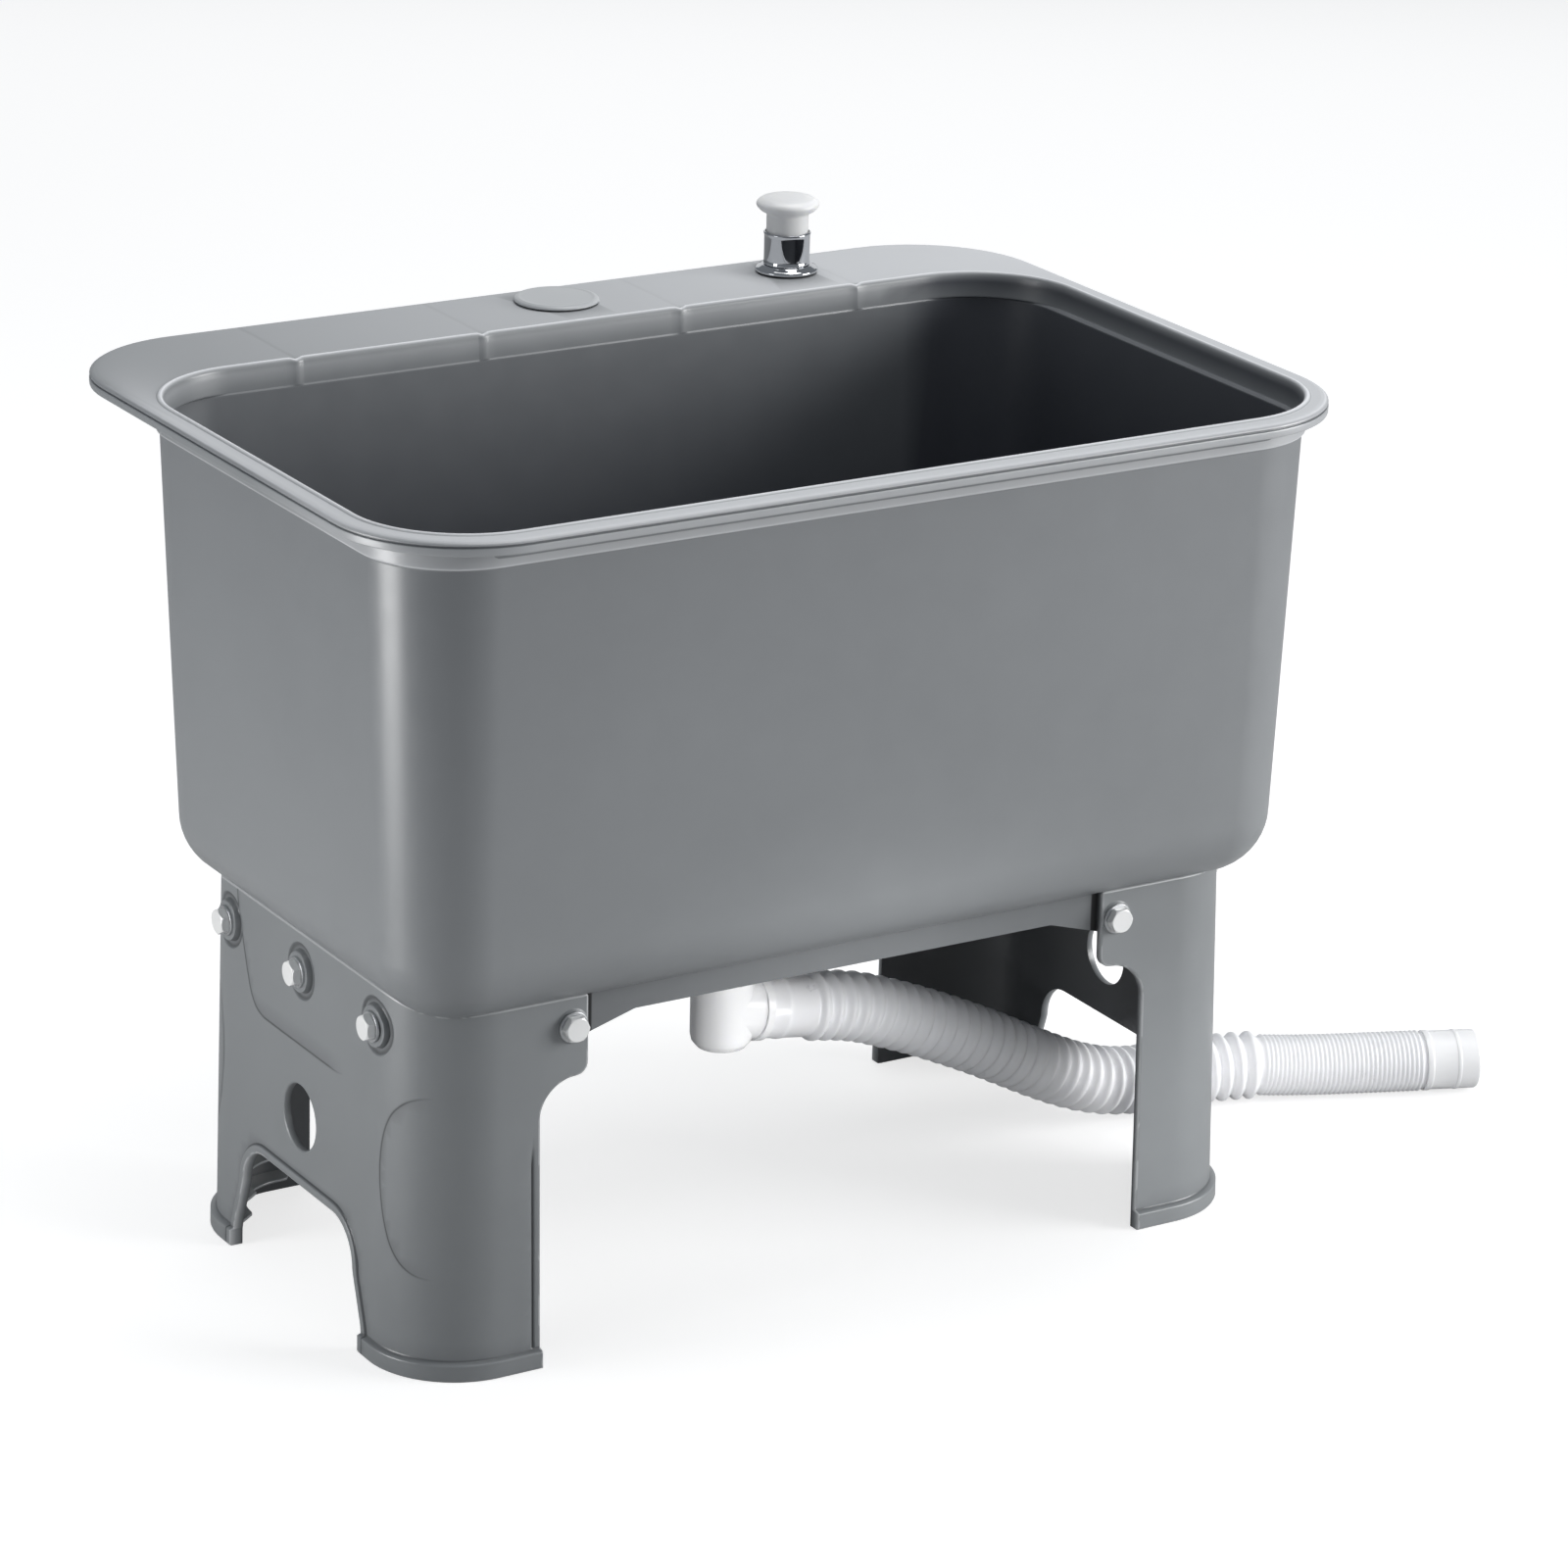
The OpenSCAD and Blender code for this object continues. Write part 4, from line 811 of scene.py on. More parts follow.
@dataclass
class Studio:
    """The camera where the photographer stood, soft lights and a pale floor.

    Attributes:
        eye: The camera's place.
        yaw: Degrees from straight back to the right.
        pitch: Degrees down.
        roll: Degrees that the frame leans.
        lens: Focal length for a 36 mm frame.
        frame: Width of the camera's frame in millimetres.
        floor_size: Side of the floor.
        floor_shade: The floor's reflectance.
        floor_glow: What the camera sees the floor add to that.
        sky: Colour and strength of the light from all round.
    """

    eye: Point = (-1.5227, -2.5958, 1.3152)
    yaw: float = 31.255
    pitch: float = 19.626
    roll: float = 1.297
    lens: float = 133.75
    frame: float = 36.0
    floor_size: float = 14.0
    floor_shade: float = 0.50
    floor_glow: float = 0.70
    sky: tuple[Colour4, float] = ((0.80, 0.86, 0.93, 1.0), 0.24)

    def camera(self) -> None:
        """Set the camera: forward is (sin yaw cos pitch, cos yaw cos pitch, -sin pitch)."""
        yaw, pitch, roll = (math.radians(v) for v in (self.yaw, self.pitch, self.roll))
        ahead = Vector((math.sin(yaw) * math.cos(pitch), math.cos(yaw) * math.cos(pitch), -math.sin(pitch)))
        level = Vector((math.cos(yaw), -math.sin(yaw), 0.0))
        upright = level.cross(ahead)
        right = math.cos(roll) * level + math.sin(roll) * upright
        up = math.cos(roll) * upright - math.sin(roll) * level
        data = bpy.data.cameras.new("camera")
        data.lens = self.lens
        data.sensor_width = self.frame
        data.sensor_fit = "HORIZONTAL"
        data.clip_start, data.clip_end = 0.05, 60.0
        made = bpy.data.objects.new("camera", data)
        turn = Matrix((right, up, -ahead)).transposed().to_4x4()
        made.matrix_world = Matrix.Translation(self.eye) @ turn
        bpy.context.scene.collection.objects.link(made)
        bpy.context.scene.camera = made

    def surroundings(self) -> None:
        """Light the scene softly from all round: white to the camera, dimmer to the sink."""
        world = bpy.data.worlds.new("surroundings")
        bpy.context.scene.world = world
        world.use_nodes = True
        world.node_tree.nodes.clear()
        wiring = Wiring(world.node_tree)
        seen = wiring.node("ShaderNodeLightPath").outputs["Is Camera Ray"]
        dim = wiring.node("ShaderNodeBackground", {"Color": self.sky[0], "Strength": self.sky[1]})
        white = wiring.node("ShaderNodeBackground", {"Color": (1.0, 1.0, 1.0, 1.0), "Strength": 1.0})
        both = wiring.node("ShaderNodeMixShader", {0: seen, 1: dim.outputs[0], 2: white.outputs[0]})
        wiring.node("ShaderNodeOutputWorld", {"Surface": both.outputs[0]})

    def floor(self) -> None:
        """Lay a pale matt floor under the sink, paler to the camera than to the sink."""
        half = self.floor_size / 2
        mesh = bpy.data.meshes.new("floor")
        corners = [(-half, -half, 0), (half, -half, 0), (half, half, 0), (-half, half, 0)]
        mesh.from_pydata(corners, [], [(0, 1, 2, 3)])
        made = bpy.data.objects.new("floor", mesh)
        paint = bpy.data.materials.new("pale floor")
        paint.use_nodes = True
        skin = paint.node_tree.nodes["Principled BSDF"]
        skin.inputs["Base Color"].default_value = (*[self.floor_shade] * 3, 1.0)
        skin.inputs["Roughness"].default_value = 0.85
        skin.inputs["Specular IOR Level"].default_value = 0.2
        wiring = Wiring(paint.node_tree)
        seen = wiring.node("ShaderNodeLightPath").outputs["Is Camera Ray"]
        glow = wiring.blend(seen, (0.0, 0.0, 0.0, 1.0), (*[self.floor_glow] * 3, 1.0))
        paint.node_tree.links.new(glow, skin.inputs["Emission Color"])
        skin.inputs["Emission Strength"].default_value = 1.0
        mesh.materials.append(paint)
        bpy.context.scene.collection.objects.link(made)

    def build(self) -> None:
        """Build the lights, the surroundings and the floor."""
        for light in LIGHTS:
            light.hang()
        self.surroundings()
        self.floor()
        bpy.context.scene.view_settings.view_transform = "Standard"
        bpy.context.scene.view_settings.look = "None"


@dataclass
class Layout:
    """Places that several sub-assemblies share, in millimetres.

    Attributes:
        leg_h: Height of the basin's underside.
        rim_h: Height of the rim.
        open_y: Middle of the opening.
        legs_y: Middle of the legs and the waste.
        deck_z: Top of the deck.
        deck_y: Middle of the deck's holes, from front to back.
        cap_x: Middle of the tap hole's cap.
        control_x: Middle of the push control.
        seal: Thickness of the seals on the deck.
    """

    leg_h: float = 202.0
    rim_h: float = 472.0
    open_y: float = -31.0
    legs_y: float = -26.0
    deck_z: float = 471.2
    deck_y: float = 177.0
    cap_x: float = 4.0
    control_x: float = 154.0
    seal: float = 1.0


@dataclass
class DrainHose:
    """The ribbed hose from the elbow to its plain tail.

    Attributes:
        place: Shared places.
        outlet: Height of the outlet's centre, its fall in degrees and its length.
        cuff: Length and radius of the plain end.
        coarse: Radius, depth and pitch of the coarse ribs.
        fine: Radius, depth and pitch of the fine ribs.
        fine_length: Length that has fine ribs.
        bore: Radius of the bore.
        sides: Points round the hose.
        tail_size: Radius, length and points round the plain tail.
        by_hand: Route points past the outlet, from the photographed line.
        length: Length of the centre line, once it is worked out.
    """

    place: Layout = field(default_factory=Layout)
    outlet: tuple[float, float, float] = (118.0, 9.0, 24.0)
    cuff: tuple[float, float] = (30.0, 17.5)
    coarse: tuple[float, float, float] = (20.0, 3.3, 8.8)
    fine: tuple[float, float, float] = (18.0, 1.2, 2.75)
    fine_length: float = 100.0
    bore: float = 14.5
    sides: int = 32
    tail_size: tuple[float, float, int] = (17.3, 32.0, 64)
    by_hand: tuple[Point, ...] = (
        (78, 0, 105.1), (92, 0, 101), (110, 0, 94), (129, 0, 86), (150, 0, 76.2), (171, 0, 65.8),
        (193, 0, 54), (215, 0, 42.3), (237, 0, 32), (258, 0, 25), (278, 0, 21.5), (297, -0.4, 20.6),
        (316, -2.4, 20.5), (334, -6.2, 20.5), (352, -11.6, 20.5), (372, -18.6, 19.2), (392, -26.2, 18.5),
        (412, -34, 18.3), (431, -41.6, 18.3), (450, -49.2, 18.3))
    length: float = field(init=False, default=0.0)

    def route(self) -> Array:
        """Route points: straight out of the elbow, then the listed ones."""
        height, fall, reach = self.outlet
        t = reach + np.array([0.0, 14.0, 27.0, 40.0])
        slope = math.radians(fall)
        start = np.stack([t * math.cos(slope), np.zeros(4), height - t * math.sin(slope)], axis=1)
        return np.concatenate([start, np.array(self.by_hand, float)]) + (0.0, self.place.legs_y, 0.0)

    def centreline(self, spacing: float = 1.5) -> Array:
        """Points of a smooth curve through the route, evenly spaced.

        Between b and c, with a before and d after, the curve is half of
        2b + (c-a)t + (2a-5b+4c-d)t^2 + (3b-a-3c+d)t^3.

        Args:
            spacing: Distance between the points.

        Returns:
            The points, one a row.
        """
        points = self.route()
        padded = np.concatenate([points[:1], points, points[-1:]])
        a, b, c, d = (padded[k:len(padded) - 3 + k, None, :] for k in range(4))
        t = np.linspace(0.0, 1.0, 24, endpoint=False)[None, :, None]
        curve = 0.5 * (2 * b + (c - a) * t + (2 * a - 5 * b + 4 * c - d) * t ** 2
                       + (3 * b - a - 3 * c + d) * t ** 3)
        dense = np.concatenate([curve.reshape(-1, 3), points[-1:]])
        run = np.concatenate([[0.0], np.cumsum(np.linalg.norm(np.diff(dense, axis=0), axis=1))])
        self.length = float(run[-1])
        even = np.linspace(0.0, self.length, int(self.length / spacing) + 1)
        return np.stack([np.interp(even, run, dense[:, k]) for k in range(3)], axis=1)

    def carried(self, line: Array, run: Array, radii: Array) -> Array:
        """Rings round a centre line.

        At each place the ring's plane is square to the line; its points are the centre plus
        r (cos a up + sin a side), where side is level.

        Args:
            line: Evenly spaced points of the centre line.
            run: Distance along the line of each ring.
            radii: Radius of each ring.

        Returns:
            The rings' points, as rings by sides by 3.
        """
        even = np.linspace(0.0, self.length, len(line))
        middle = np.stack([np.interp(run, even, line[:, k]) for k in range(3)], axis=1)
        slope = np.gradient(line, even, axis=0)
        way = np.stack([np.interp(run, even, slope[:, k]) for k in range(3)], axis=1)
        way /= np.linalg.norm(way, axis=1, keepdims=True)
        side = np.cross(way, (0.0, 0.0, 1.0))
        side /= np.linalg.norm(side, axis=1, keepdims=True)
        up = np.cross(side, way)
        a = np.arange(self.sides) * 2 * np.pi / self.sides
        around = np.cos(a)[None, :, None] * up[:, None] + np.sin(a)[None, :, None] * side[:, None]
        return middle[:, None] + radii[:, None, None] * around

    @staticmethod
    def ribs(start: float, end: float, radius: float, depth: float, pitch: float, steps: int) -> Array:
        """Distance and radius along a run of ribs with round crests and narrow valleys.

        With u the place in a pitch from 0 to 1, the radius is radius - depth |cos(pi u)|^2.6,
        so the valley lies at each end of a pitch and the crest between.

        Args:
            start: Where the run starts.
            end: Where it ends.
            radius: Radius of the crests.
            depth: Depth of the valleys.
            pitch: Pitch, changed a little to fit the run.
            steps: Points in a pitch.

        Returns:
            Distance and radius, one a row.
        """
        count = max(1, round((end - start) / pitch))
        u = np.arange(count * steps + 1) / steps
        run = start + (end - start) * u / count
        return np.stack([run, radius - depth * np.abs(np.cos(np.pi * u)) ** 2.6], axis=1)

    def build(self, shop: Shop) -> None:
        line = self.centreline()
        switch = self.length - self.fine_length
        r_cuff = self.cuff[1]
        plain = np.array([[0.0, r_cuff - 1.2], [0.0, r_cuff - 0.3], [0.5, r_cuff], [9.0, r_cuff],
                          [9.6, r_cuff + 0.5], [12.4, r_cuff + 0.5], [13.0, r_cuff],
                          [self.cuff[0] - 0.5, r_cuff]])
        coarse = self.ribs(self.cuff[0], switch - 1.0, *self.coarse, steps=10)
        fine = self.ribs(switch + 1.0, self.length - 2.0, *self.fine, steps=6)
        end = np.array([[self.length, self.fine[0] - self.fine[1]], [self.length, self.bore + 0.2]])
        outside = np.concatenate([plain, coarse, fine, end])
        inside = np.stack([np.linspace(self.length, 0.0, 160), np.full(160, self.bore)], axis=1)
        profile = np.concatenate([outside, inside])
        rings = self.carried(line, profile[:, 0], profile[:, 1])
        faces = grid_faces(len(profile), self.sides, True, True)[:, ::-1]
        hose = shop.piece("drain_hose_made", rings, faces, "hose_plastic", Body.SINK, "drain_hose",
                          shading=Shading.SOFT)
        tail = self.tail(shop, line)

    def tail(self, shop: Shop, line: Array) -> bpy.types.Object:
        """Build the plain tail: a turned sleeve laid along the hose's last run."""
        bore, (r, length, sides) = self.bore, self.tail_size
        profile = soften(np.array([[bore, 0.1], [r + 0.5, 0.1], [r + 0.5, 3.2], [r, 4.0], [r, 18.0],
                                   [r + 0.35, 18.6], [r + 0.35, 20.0], [r, 20.6], [r, length - 1.0],
                                   [r - 0.8, length], [bore + 0.5, length], [bore, length - 0.8],
                                   [bore, 0.1]]), 0.3, 3)
        a = np.arange(sides) * 2 * np.pi / sides
        way = line[-1] - line[-6]
        way[2] = 0.0
        way /= np.linalg.norm(way)
        side = np.cross(way, (0.0, 0.0, 1.0))
        around = np.cos(a)[:, None] * np.array((0.0, 0.0, 1.0)) + np.sin(a)[:, None] * side
        rings = line[-1] + profile[:, 1, None, None] * way + profile[:, 0, None, None] * around[None]
        faces = grid_faces(len(profile), sides, False, True)[:, ::-1]
        return shop.piece("hose_tail_made", rings, faces, "tail_plastic", Body.SINK, "hose_tail")


@dataclass(frozen=True)
class BasinPaintedLight:
    """Painted light and shade on the basin's places, from -1 dark to 1 light, where the studio lights alone
    don't give it.

    Attributes:
        lip: Painted light on the flat lip at the front and ends.
        deck: Painted light on the deck at x = 0, and how much more a half length further right.
        bead: Rows over which the painted highlight on the bead round the opening fades.
        groove: How dark the painted shadow line under the lip's edge is.
        collar: The painted highlight over the collar's foot and the painted shadow line under it.
        turned: Painted light on the turned-down front.
        ledge: Painted light on the inner ledge, and how far it drops into painted shade at the right end.
        floor: Painted shade on the inside under the ledge, and how much darker it gets lower down.
        shade: The painted shade on the right end of the inside.
        lean: Where the painted shade's edge meets the ledge, and how it leans.
    """

    lip: float = 0.62
    deck: tuple[float, float] = (0.40, 0.30)
    bead: float = 6.0
    groove: float = 0.75
    collar: tuple[float, float] = (0.42, 0.20)
    turned: float = 0.30
    ledge: tuple[float, float] = (0.20, 0.85)
    floor: tuple[float, float] = (0.31, 0.64)
    shade: float = 0.85
    lean: tuple[float, float] = (215.0, 0.57)


@dataclass
class Basin:
    """The deep basin with its collar, rim and rear deck.

    Attributes:
        place: Shared places.
        opening: Length, width and corner radius of the opening.
        lip: Reach of the lip at the front and ends, and of the deck at the back.
        lip_h: Height of the turned-down edge.
        plate: Thickness of the lip.
        wall: Thickness of the walls.
        draft: Lean of the walls in degrees.
        body_r: Corner radius of the walls.
        edge_r: Radius of the bottom edge.
        collar: Height of the collar and how far it stands proud.
        inset: How far the walls' top stands in from the opening's edge, and their middle back.
        ledge: Depth of the inner ledge.
        hole: Diameter of the waste hole.
        deck_holes: Diameters of the tap hole and the control's hole.
        corner_steps: Steps round a corner.
        creases: Places of the sink marks in the bead.
        crease_size: Half width of a mark, and how far it goes back and down.
        gusset_x: Places of the gussets.
        gusset: Thickness and height of a gusset.
        lug_z: Lowest and highest height of a lug.
        lug_x: Where the lugs start, and where the middle one and the others end.
        lug_y: Distance between the lugs, and half width of the middle one and the others.
        painted_light: Painted light and shade on its places.
    """

    place: Layout = field(default_factory=Layout)
    opening: tuple[float, float, float] = (560.0, 330.0, 60.0)
    lip: tuple[float, float] = (13.0, 75.0)
    lip_h: float = 8.5
    plate: float = 3.5
    wall: float = 3.2
    draft: float = 1.95
    body_r: float = 51.0
    edge_r: float = 35.0
    collar: tuple[float, float] = (20.0, 2.0)
    inset: tuple[float, float] = (1.6, 3.0)
    ledge: float = 14.5
    hole: float = 52.0
    deck_holes: tuple[float, float] = (35.0, 22.0)
    corner_steps: int = 18
    creases: tuple[float, ...] = (-179.0, -65.0, 60.0, 175.0)
    crease_size: tuple[float, float, float] = (2.4, 0.8, 1.3)
    gusset_x: tuple[float, ...] = (-178.0, -63.0, 63.0, 178.0)
    gusset: tuple[float, float] = (3.0, 28.0)
    lug_z: tuple[float, float] = (172.0, 204.6)
    lug_x: tuple[float, float, float] = (235.4, 252.6, 250.4)
    lug_y: tuple[float, float, float] = (84.5, 15.0, 12.5)
    painted_light: BasinPaintedLight = BasinPaintedLight()

    def rim_station(self, grow: float, back: float, z: float) -> list[float]:
        """Half length, front, back, corner radius and height of a ring of the rim."""
        length, width, radius = self.opening
        y = self.place.open_y
        return [length / 2 + grow, y - width / 2 - grow, y + width / 2 + back, radius + grow, z]

    def wall_station(self, inwards: float, z: float) -> list[float]:
        """The same values of a ring of the walls, drawn in by so much."""
        (length, width, _), (inset, shift) = self.opening, self.inset
        half_x, half_y, y = length / 2 - inset, width / 2 - inset, self.place.open_y + shift
        return [half_x - inwards, y - half_y + inwards, y + half_y - inwards, self.body_r - inwards, z]

    def heel(self, thick: float, z: float, steps: int = 12) -> Array:
        """Stations of the round bottom edge from the wall down, a quarter circle in height and draw."""
        ledge_z = self.place.rim_h - self.collar[0]
        lean = (ledge_z - self.place.leg_h - self.edge_r) * math.tan(math.radians(self.draft))
        a = np.linspace(0.0, np.pi / 2, steps + 1)
        r = self.edge_r - thick
        inwards, height = lean + thick + r * (1 - np.cos(a)), z + r * (1 - np.sin(a))
        return np.array([self.wall_station(i, h) for i, h in zip(inwards, height)])

    def drain_station(self, radius: float, z: float) -> list[float]:
        """A round station about the waste hole."""
        return [radius, self.place.legs_y - radius, self.place.legs_y + radius, radius, z]

    def stations(self) -> Array:
        """All stations: out of the waste hole, up the outside, over the rim, down the inside."""
        p, deck_z, rim_z = self.place, self.place.deck_z, self.place.rim_h
        lip, deck = self.lip
        under_z, low, ledge_z = deck_z - self.plate, rim_z - self.lip_h, rim_z - self.collar[0]
        outside = [self.wall_station(0.0, ledge_z), self.wall_station(-self.collar[1], ledge_z + 0.7),
                   self.wall_station(-self.collar[1], under_z)]
        turned = ((3.0, under_z), (2.6, low), (0.2, low), (0.0, low + 0.8), (0.0, under_z),
                  (1.1, under_z + 0.1), (1.1, under_z + 0.9), (0.0, under_z + 1.0), (0.3, deck_z - 1.4),
                  (2.2, deck_z - 0.2), (4.2, deck_z))
        bead = ((5.0, deck_z), (3.4, deck_z), (2.5, rim_z - 0.1), (1.2, rim_z + 0.25), (0.2, rim_z - 0.5),
                (-0.3, rim_z - 1.8), (-0.8, rim_z - 5.2), (-1.5, rim_z - self.ledge))
        edge = [self.rim_station(lip - less, deck - less, z) for less, z in turned]
        inside = [self.rim_station(out, out, z) for out, z in bead]
        inside += [self.wall_station(self.wall, rim_z - self.ledge - 1.0)]
        hole, bottom, floor = self.hole / 2, p.leg_h, p.leg_h + self.wall
        outer_heel, inner_heel = self.heel(0.0, bottom)[::-1], self.heel(self.wall, floor)
        line = np.concatenate([outer_heel[-1:], np.array(outside + edge + inside), inner_heel[:1]])
        return np.concatenate([
            [self.drain_station(hole, bottom), self.drain_station(hole + 4, bottom)],
            outer_heel[:-1], soften(line, 1.1, 4), inner_heel[1:],
            [self.drain_station(hole + 4, floor), self.drain_station(hole, floor)]])

    def rings(self, stations: Array) -> Array:
        """Points of rounded rectangles, counterclockwise from above, as rings by points by 3.

        Each corner is a quarter circle about (hx - r, y - r); the long sides have points at the
        same places in every ring, and the short sides at equal shares.
        """
        hx, y0, y1, r, z = (stations[:, k, None] for k in range(5))
        quarter = np.radians(np.linspace(0.0, 90.0, self.corner_steps + 1))[None]

        def corner(sx: int, sy: int, start: float) -> Array:
            """One corner's points in every ring, from an angle in degrees."""
            a = quarter + math.radians(start)
            cy = y1 - r if sy > 0 else y0 + r
            return np.stack([sx * (hx - r) + r * np.cos(a), cy + r * np.sin(a)], axis=-1)

        near = np.array([-7.0, -3.5, -1.6, 0.0, 1.6, 3.5, 7.0])
        even = np.linspace(-205.0, 205.0, 28)
        places = np.unique(np.concatenate([even, (np.array(self.creases)[:, None] + near).ravel()]))[None]
        limit = hx - r
        along = np.clip(places, -limit, limit)
        level = np.ones_like(along)
        back = np.stack([along[:, ::-1], y1 * level], axis=-1)
        front = np.stack([along, y0 * level], axis=-1)
        share = np.linspace(0.0, 1.0, 15)[None, 1:-1]
        down = (y1 - r) * (1 - share) + (y0 + r) * share
        left = np.stack([-hx * np.ones_like(down), down], axis=-1)
        right = np.stack([hx * np.ones_like(down), down[:, ::-1]], axis=-1)
        flat = np.concatenate([corner(1, 1, 0), back, corner(-1, 1, 90), left, corner(-1, -1, 180), front,
                               corner(1, -1, 270), right], axis=1)
        return np.concatenate([flat, np.broadcast_to(z[:, :, None], (*flat.shape[:2], 1))], axis=-1)

    def pinched(self, rings: Array) -> Array:
        """Press the small sink marks into the bead and the ledge at the back.

        Near each crease the points move by depth times exp(-(x/w)^2), where the height is
        within the bead or the ledge and the point is on the opening's back edge.
        """
        edge_y, rim = self.place.open_y + self.opening[1] / 2, self.place.rim_h
        half, back, down = self.crease_size
        x, y, z = rings[..., 0], rings[..., 1], rings[..., 2]
        on_edge = ridge(y, edge_y + 1.0, 3.2) * (z > rim - self.ledge - 0.5)
        bump = sum(ridge(x, crease, half) for crease in self.creases) * on_edge
        bump = bump * (np.abs(x) < 210)
        moved = rings.copy()
        moved[..., 1] -= back * bump
        moved[..., 2] -= down * bump * ramp(z, rim - 4.0, 4.0)
        return moved

    def tone(self, rings: Array) -> Array:
        """Painted light and shade at each point: -1 dark, 0 plain, 1 light.

        The bead and the ledge get painted highlights, the lip, deck and turned front painted light, and
        the line under the lip and the collar's foot painted shadow. Inside, painted shade deepens
        downwards and covers the right end, and on the back wall the painted shade's edge leans:
        x = start - slope (ledge - z).
        """
        painted_light, place = self.painted_light, self.place
        order = np.arange(len(rings))[:, None]
        over = np.argmax(rings[:, 0, 2])
        x, y, z = rings[..., 0], rings[..., 1], rings[..., 2]
        ledge, collar, outer = place.rim_h - self.ledge, place.rim_h - self.collar[0], order < over
        below = ledge - z
        deep = ramp(below, -2.0, 5.0)
        shade = painted_light.floor[0] + painted_light.floor[1] * ramp(below, 35.0, 85.0)
        edge = painted_light.lean[0] - painted_light.lean[1] * below
        shade = np.maximum(shade, painted_light.shade * ramp(x, edge - 14.0, 28.0))
        band = painted_light.ledge[0] - painted_light.ledge[1] * ramp(x, 190.0, 30.0)
        band = band * ramp(place.rim_h - z, 2.0, 3.0) * (1.0 - deep)
        bead = ridge(order, over, painted_light.bead)
        behind = ramp(y, 70.0, 70.0)
        flat = painted_light.lip * (1.0 - behind) + (painted_light.deck[0] + painted_light.deck[1] * x / 280.0) * behind
        flat = flat * (z > place.deck_z - 1.0) * outer
        groove = painted_light.groove * ridge(z, place.deck_z - self.plate + 0.5, 0.55) * outer * (y < 200.0)
        line = painted_light.collar[0] * ridge(z, collar + 0.9, 0.7) - painted_light.collar[1] * ridge(z, collar - 0.9, 0.8)
        turned = painted_light.turned * ramp(-y, 40.0, 80.0) * (z > collar) * (z < place.deck_z - 1.0) * outer
        outside = np.where(bead > 0.1, bead, flat) - groove + line + turned
        return np.where(order > over, np.where(deep > 0.0, -deep * shade, band) + bead, outside)

    def holes(self, shell: bpy.types.Object) -> None:
        """Cut the tap hole and the control's hole through the deck."""
        p = self.place
        cutters = []
        for x, d in zip((p.cap_x, p.control_x), self.deck_holes):
            profile = np.array([[0.0, -20.0], [d / 2, -20.0], [d / 2, 20.0], [0.0, 20.0]])
            points, faces = spun(profile, (x, p.deck_y, p.deck_z))
            mesh = bpy.data.meshes.new("cutter")
            mesh.from_pydata((points * MM).tolist(), [], faces.tolist())
            with editing(mesh) as work:
                bmesh.ops.remove_doubles(work, verts=work.verts, dist=1e-6)
            cutter = bpy.data.objects.new("cutter", mesh)
            bpy.context.scene.collection.objects.link(cutter)
            cutters.append(cutter)
            cut = shell.modifiers.new("hole", "BOOLEAN")
            cut.operation, cut.solver, cut.object = "DIFFERENCE", "EXACT", cutter
        whole = bpy.data.meshes.new_from_object(shell.evaluated_get(bpy.context.evaluated_depsgraph_get()))
        shell.modifiers.clear()
        shell.data = whole
        for cutter in cutters:
            bpy.data.objects.remove(cutter)

    def build(self, shop: Shop) -> None:
        """Build the shell, then the gussets and lugs under it."""
        rings = self.pinched(self.rings(self.stations()))
        faces = grid_faces(rings.shape[0], rings.shape[1], True, True)
        # The tone values are painted light and shade for the basin's finish.
        shell = shop.piece("basin_shell", rings, faces, "basin_plastic", Body.SINK, "basin",
                           values={"tone": self.tone(rings)})
        self.holes(shell)
        shop.shade(shell, Shading.MOULDED)
        weights = shell.modifiers.new("level faces", "WEIGHTED_NORMAL")
        weights.keep_sharp = True
        self.gussets(shop)
        self.lugs(shop)

    def gussets(self, shop: Shop) -> None:
        """Build the gussets between the back wall and the deck."""
        thick, high = self.gusset
        y0 = self.place.open_y + self.inset[1] + self.opening[1] / 2 - self.inset[0] + 1.0
        y1 = self.place.open_y + self.opening[1] / 2 + self.lip[1] - 2.8
        z1 = self.place.deck_z - self.plate + 0.6
        outline = np.array([[y0 - 2, z1], [y1, z1], [y1, z1 - 4], [y0 + 2, z1 - high], [y0 - 3.4, z1 - high],
                            [y0 - 3, z1 - 16]])
        for number, x in enumerate(self.gusset_x):
            points, faces = extruded(soften_loop(outline, 1.2), np.array([thick, 0, 0]),
                                     np.array([x - thick / 2, 0, 0]), *UPRIGHT)
            shop.piece(f"deck_gusset_{number}", points, faces, "basin_plastic", Body.SINK, "basin")

    def lugs(self, shop: Shop) -> None:
        """Build the lugs that the end bolts pull against."""
        start, middle_end, side_end = self.lug_x
        apart, middle_half, side_half = self.lug_y
        for number, (sx, k) in enumerate((s, k) for s in (-1, 1) for k in (-1, 0, 1)):
            half, end = (middle_half, middle_end) if k == 0 else (side_half, side_end)
            outline = np.array([[w, z] for w, z in zip((-half, half, half, -half), np.repeat(self.lug_z, 2))])
            outline = soften_loop(outline, 3.0, 4)
            at = np.array([sx * start, self.place.legs_y + k * apart, 0])
            points, faces = extruded(outline, np.array([sx * (end - start), 0, 0]), at, *UPRIGHT)
            shop.piece(f"bolt_lug_{number}", points, faces, "basin_plastic", Body.SINK, "basin")


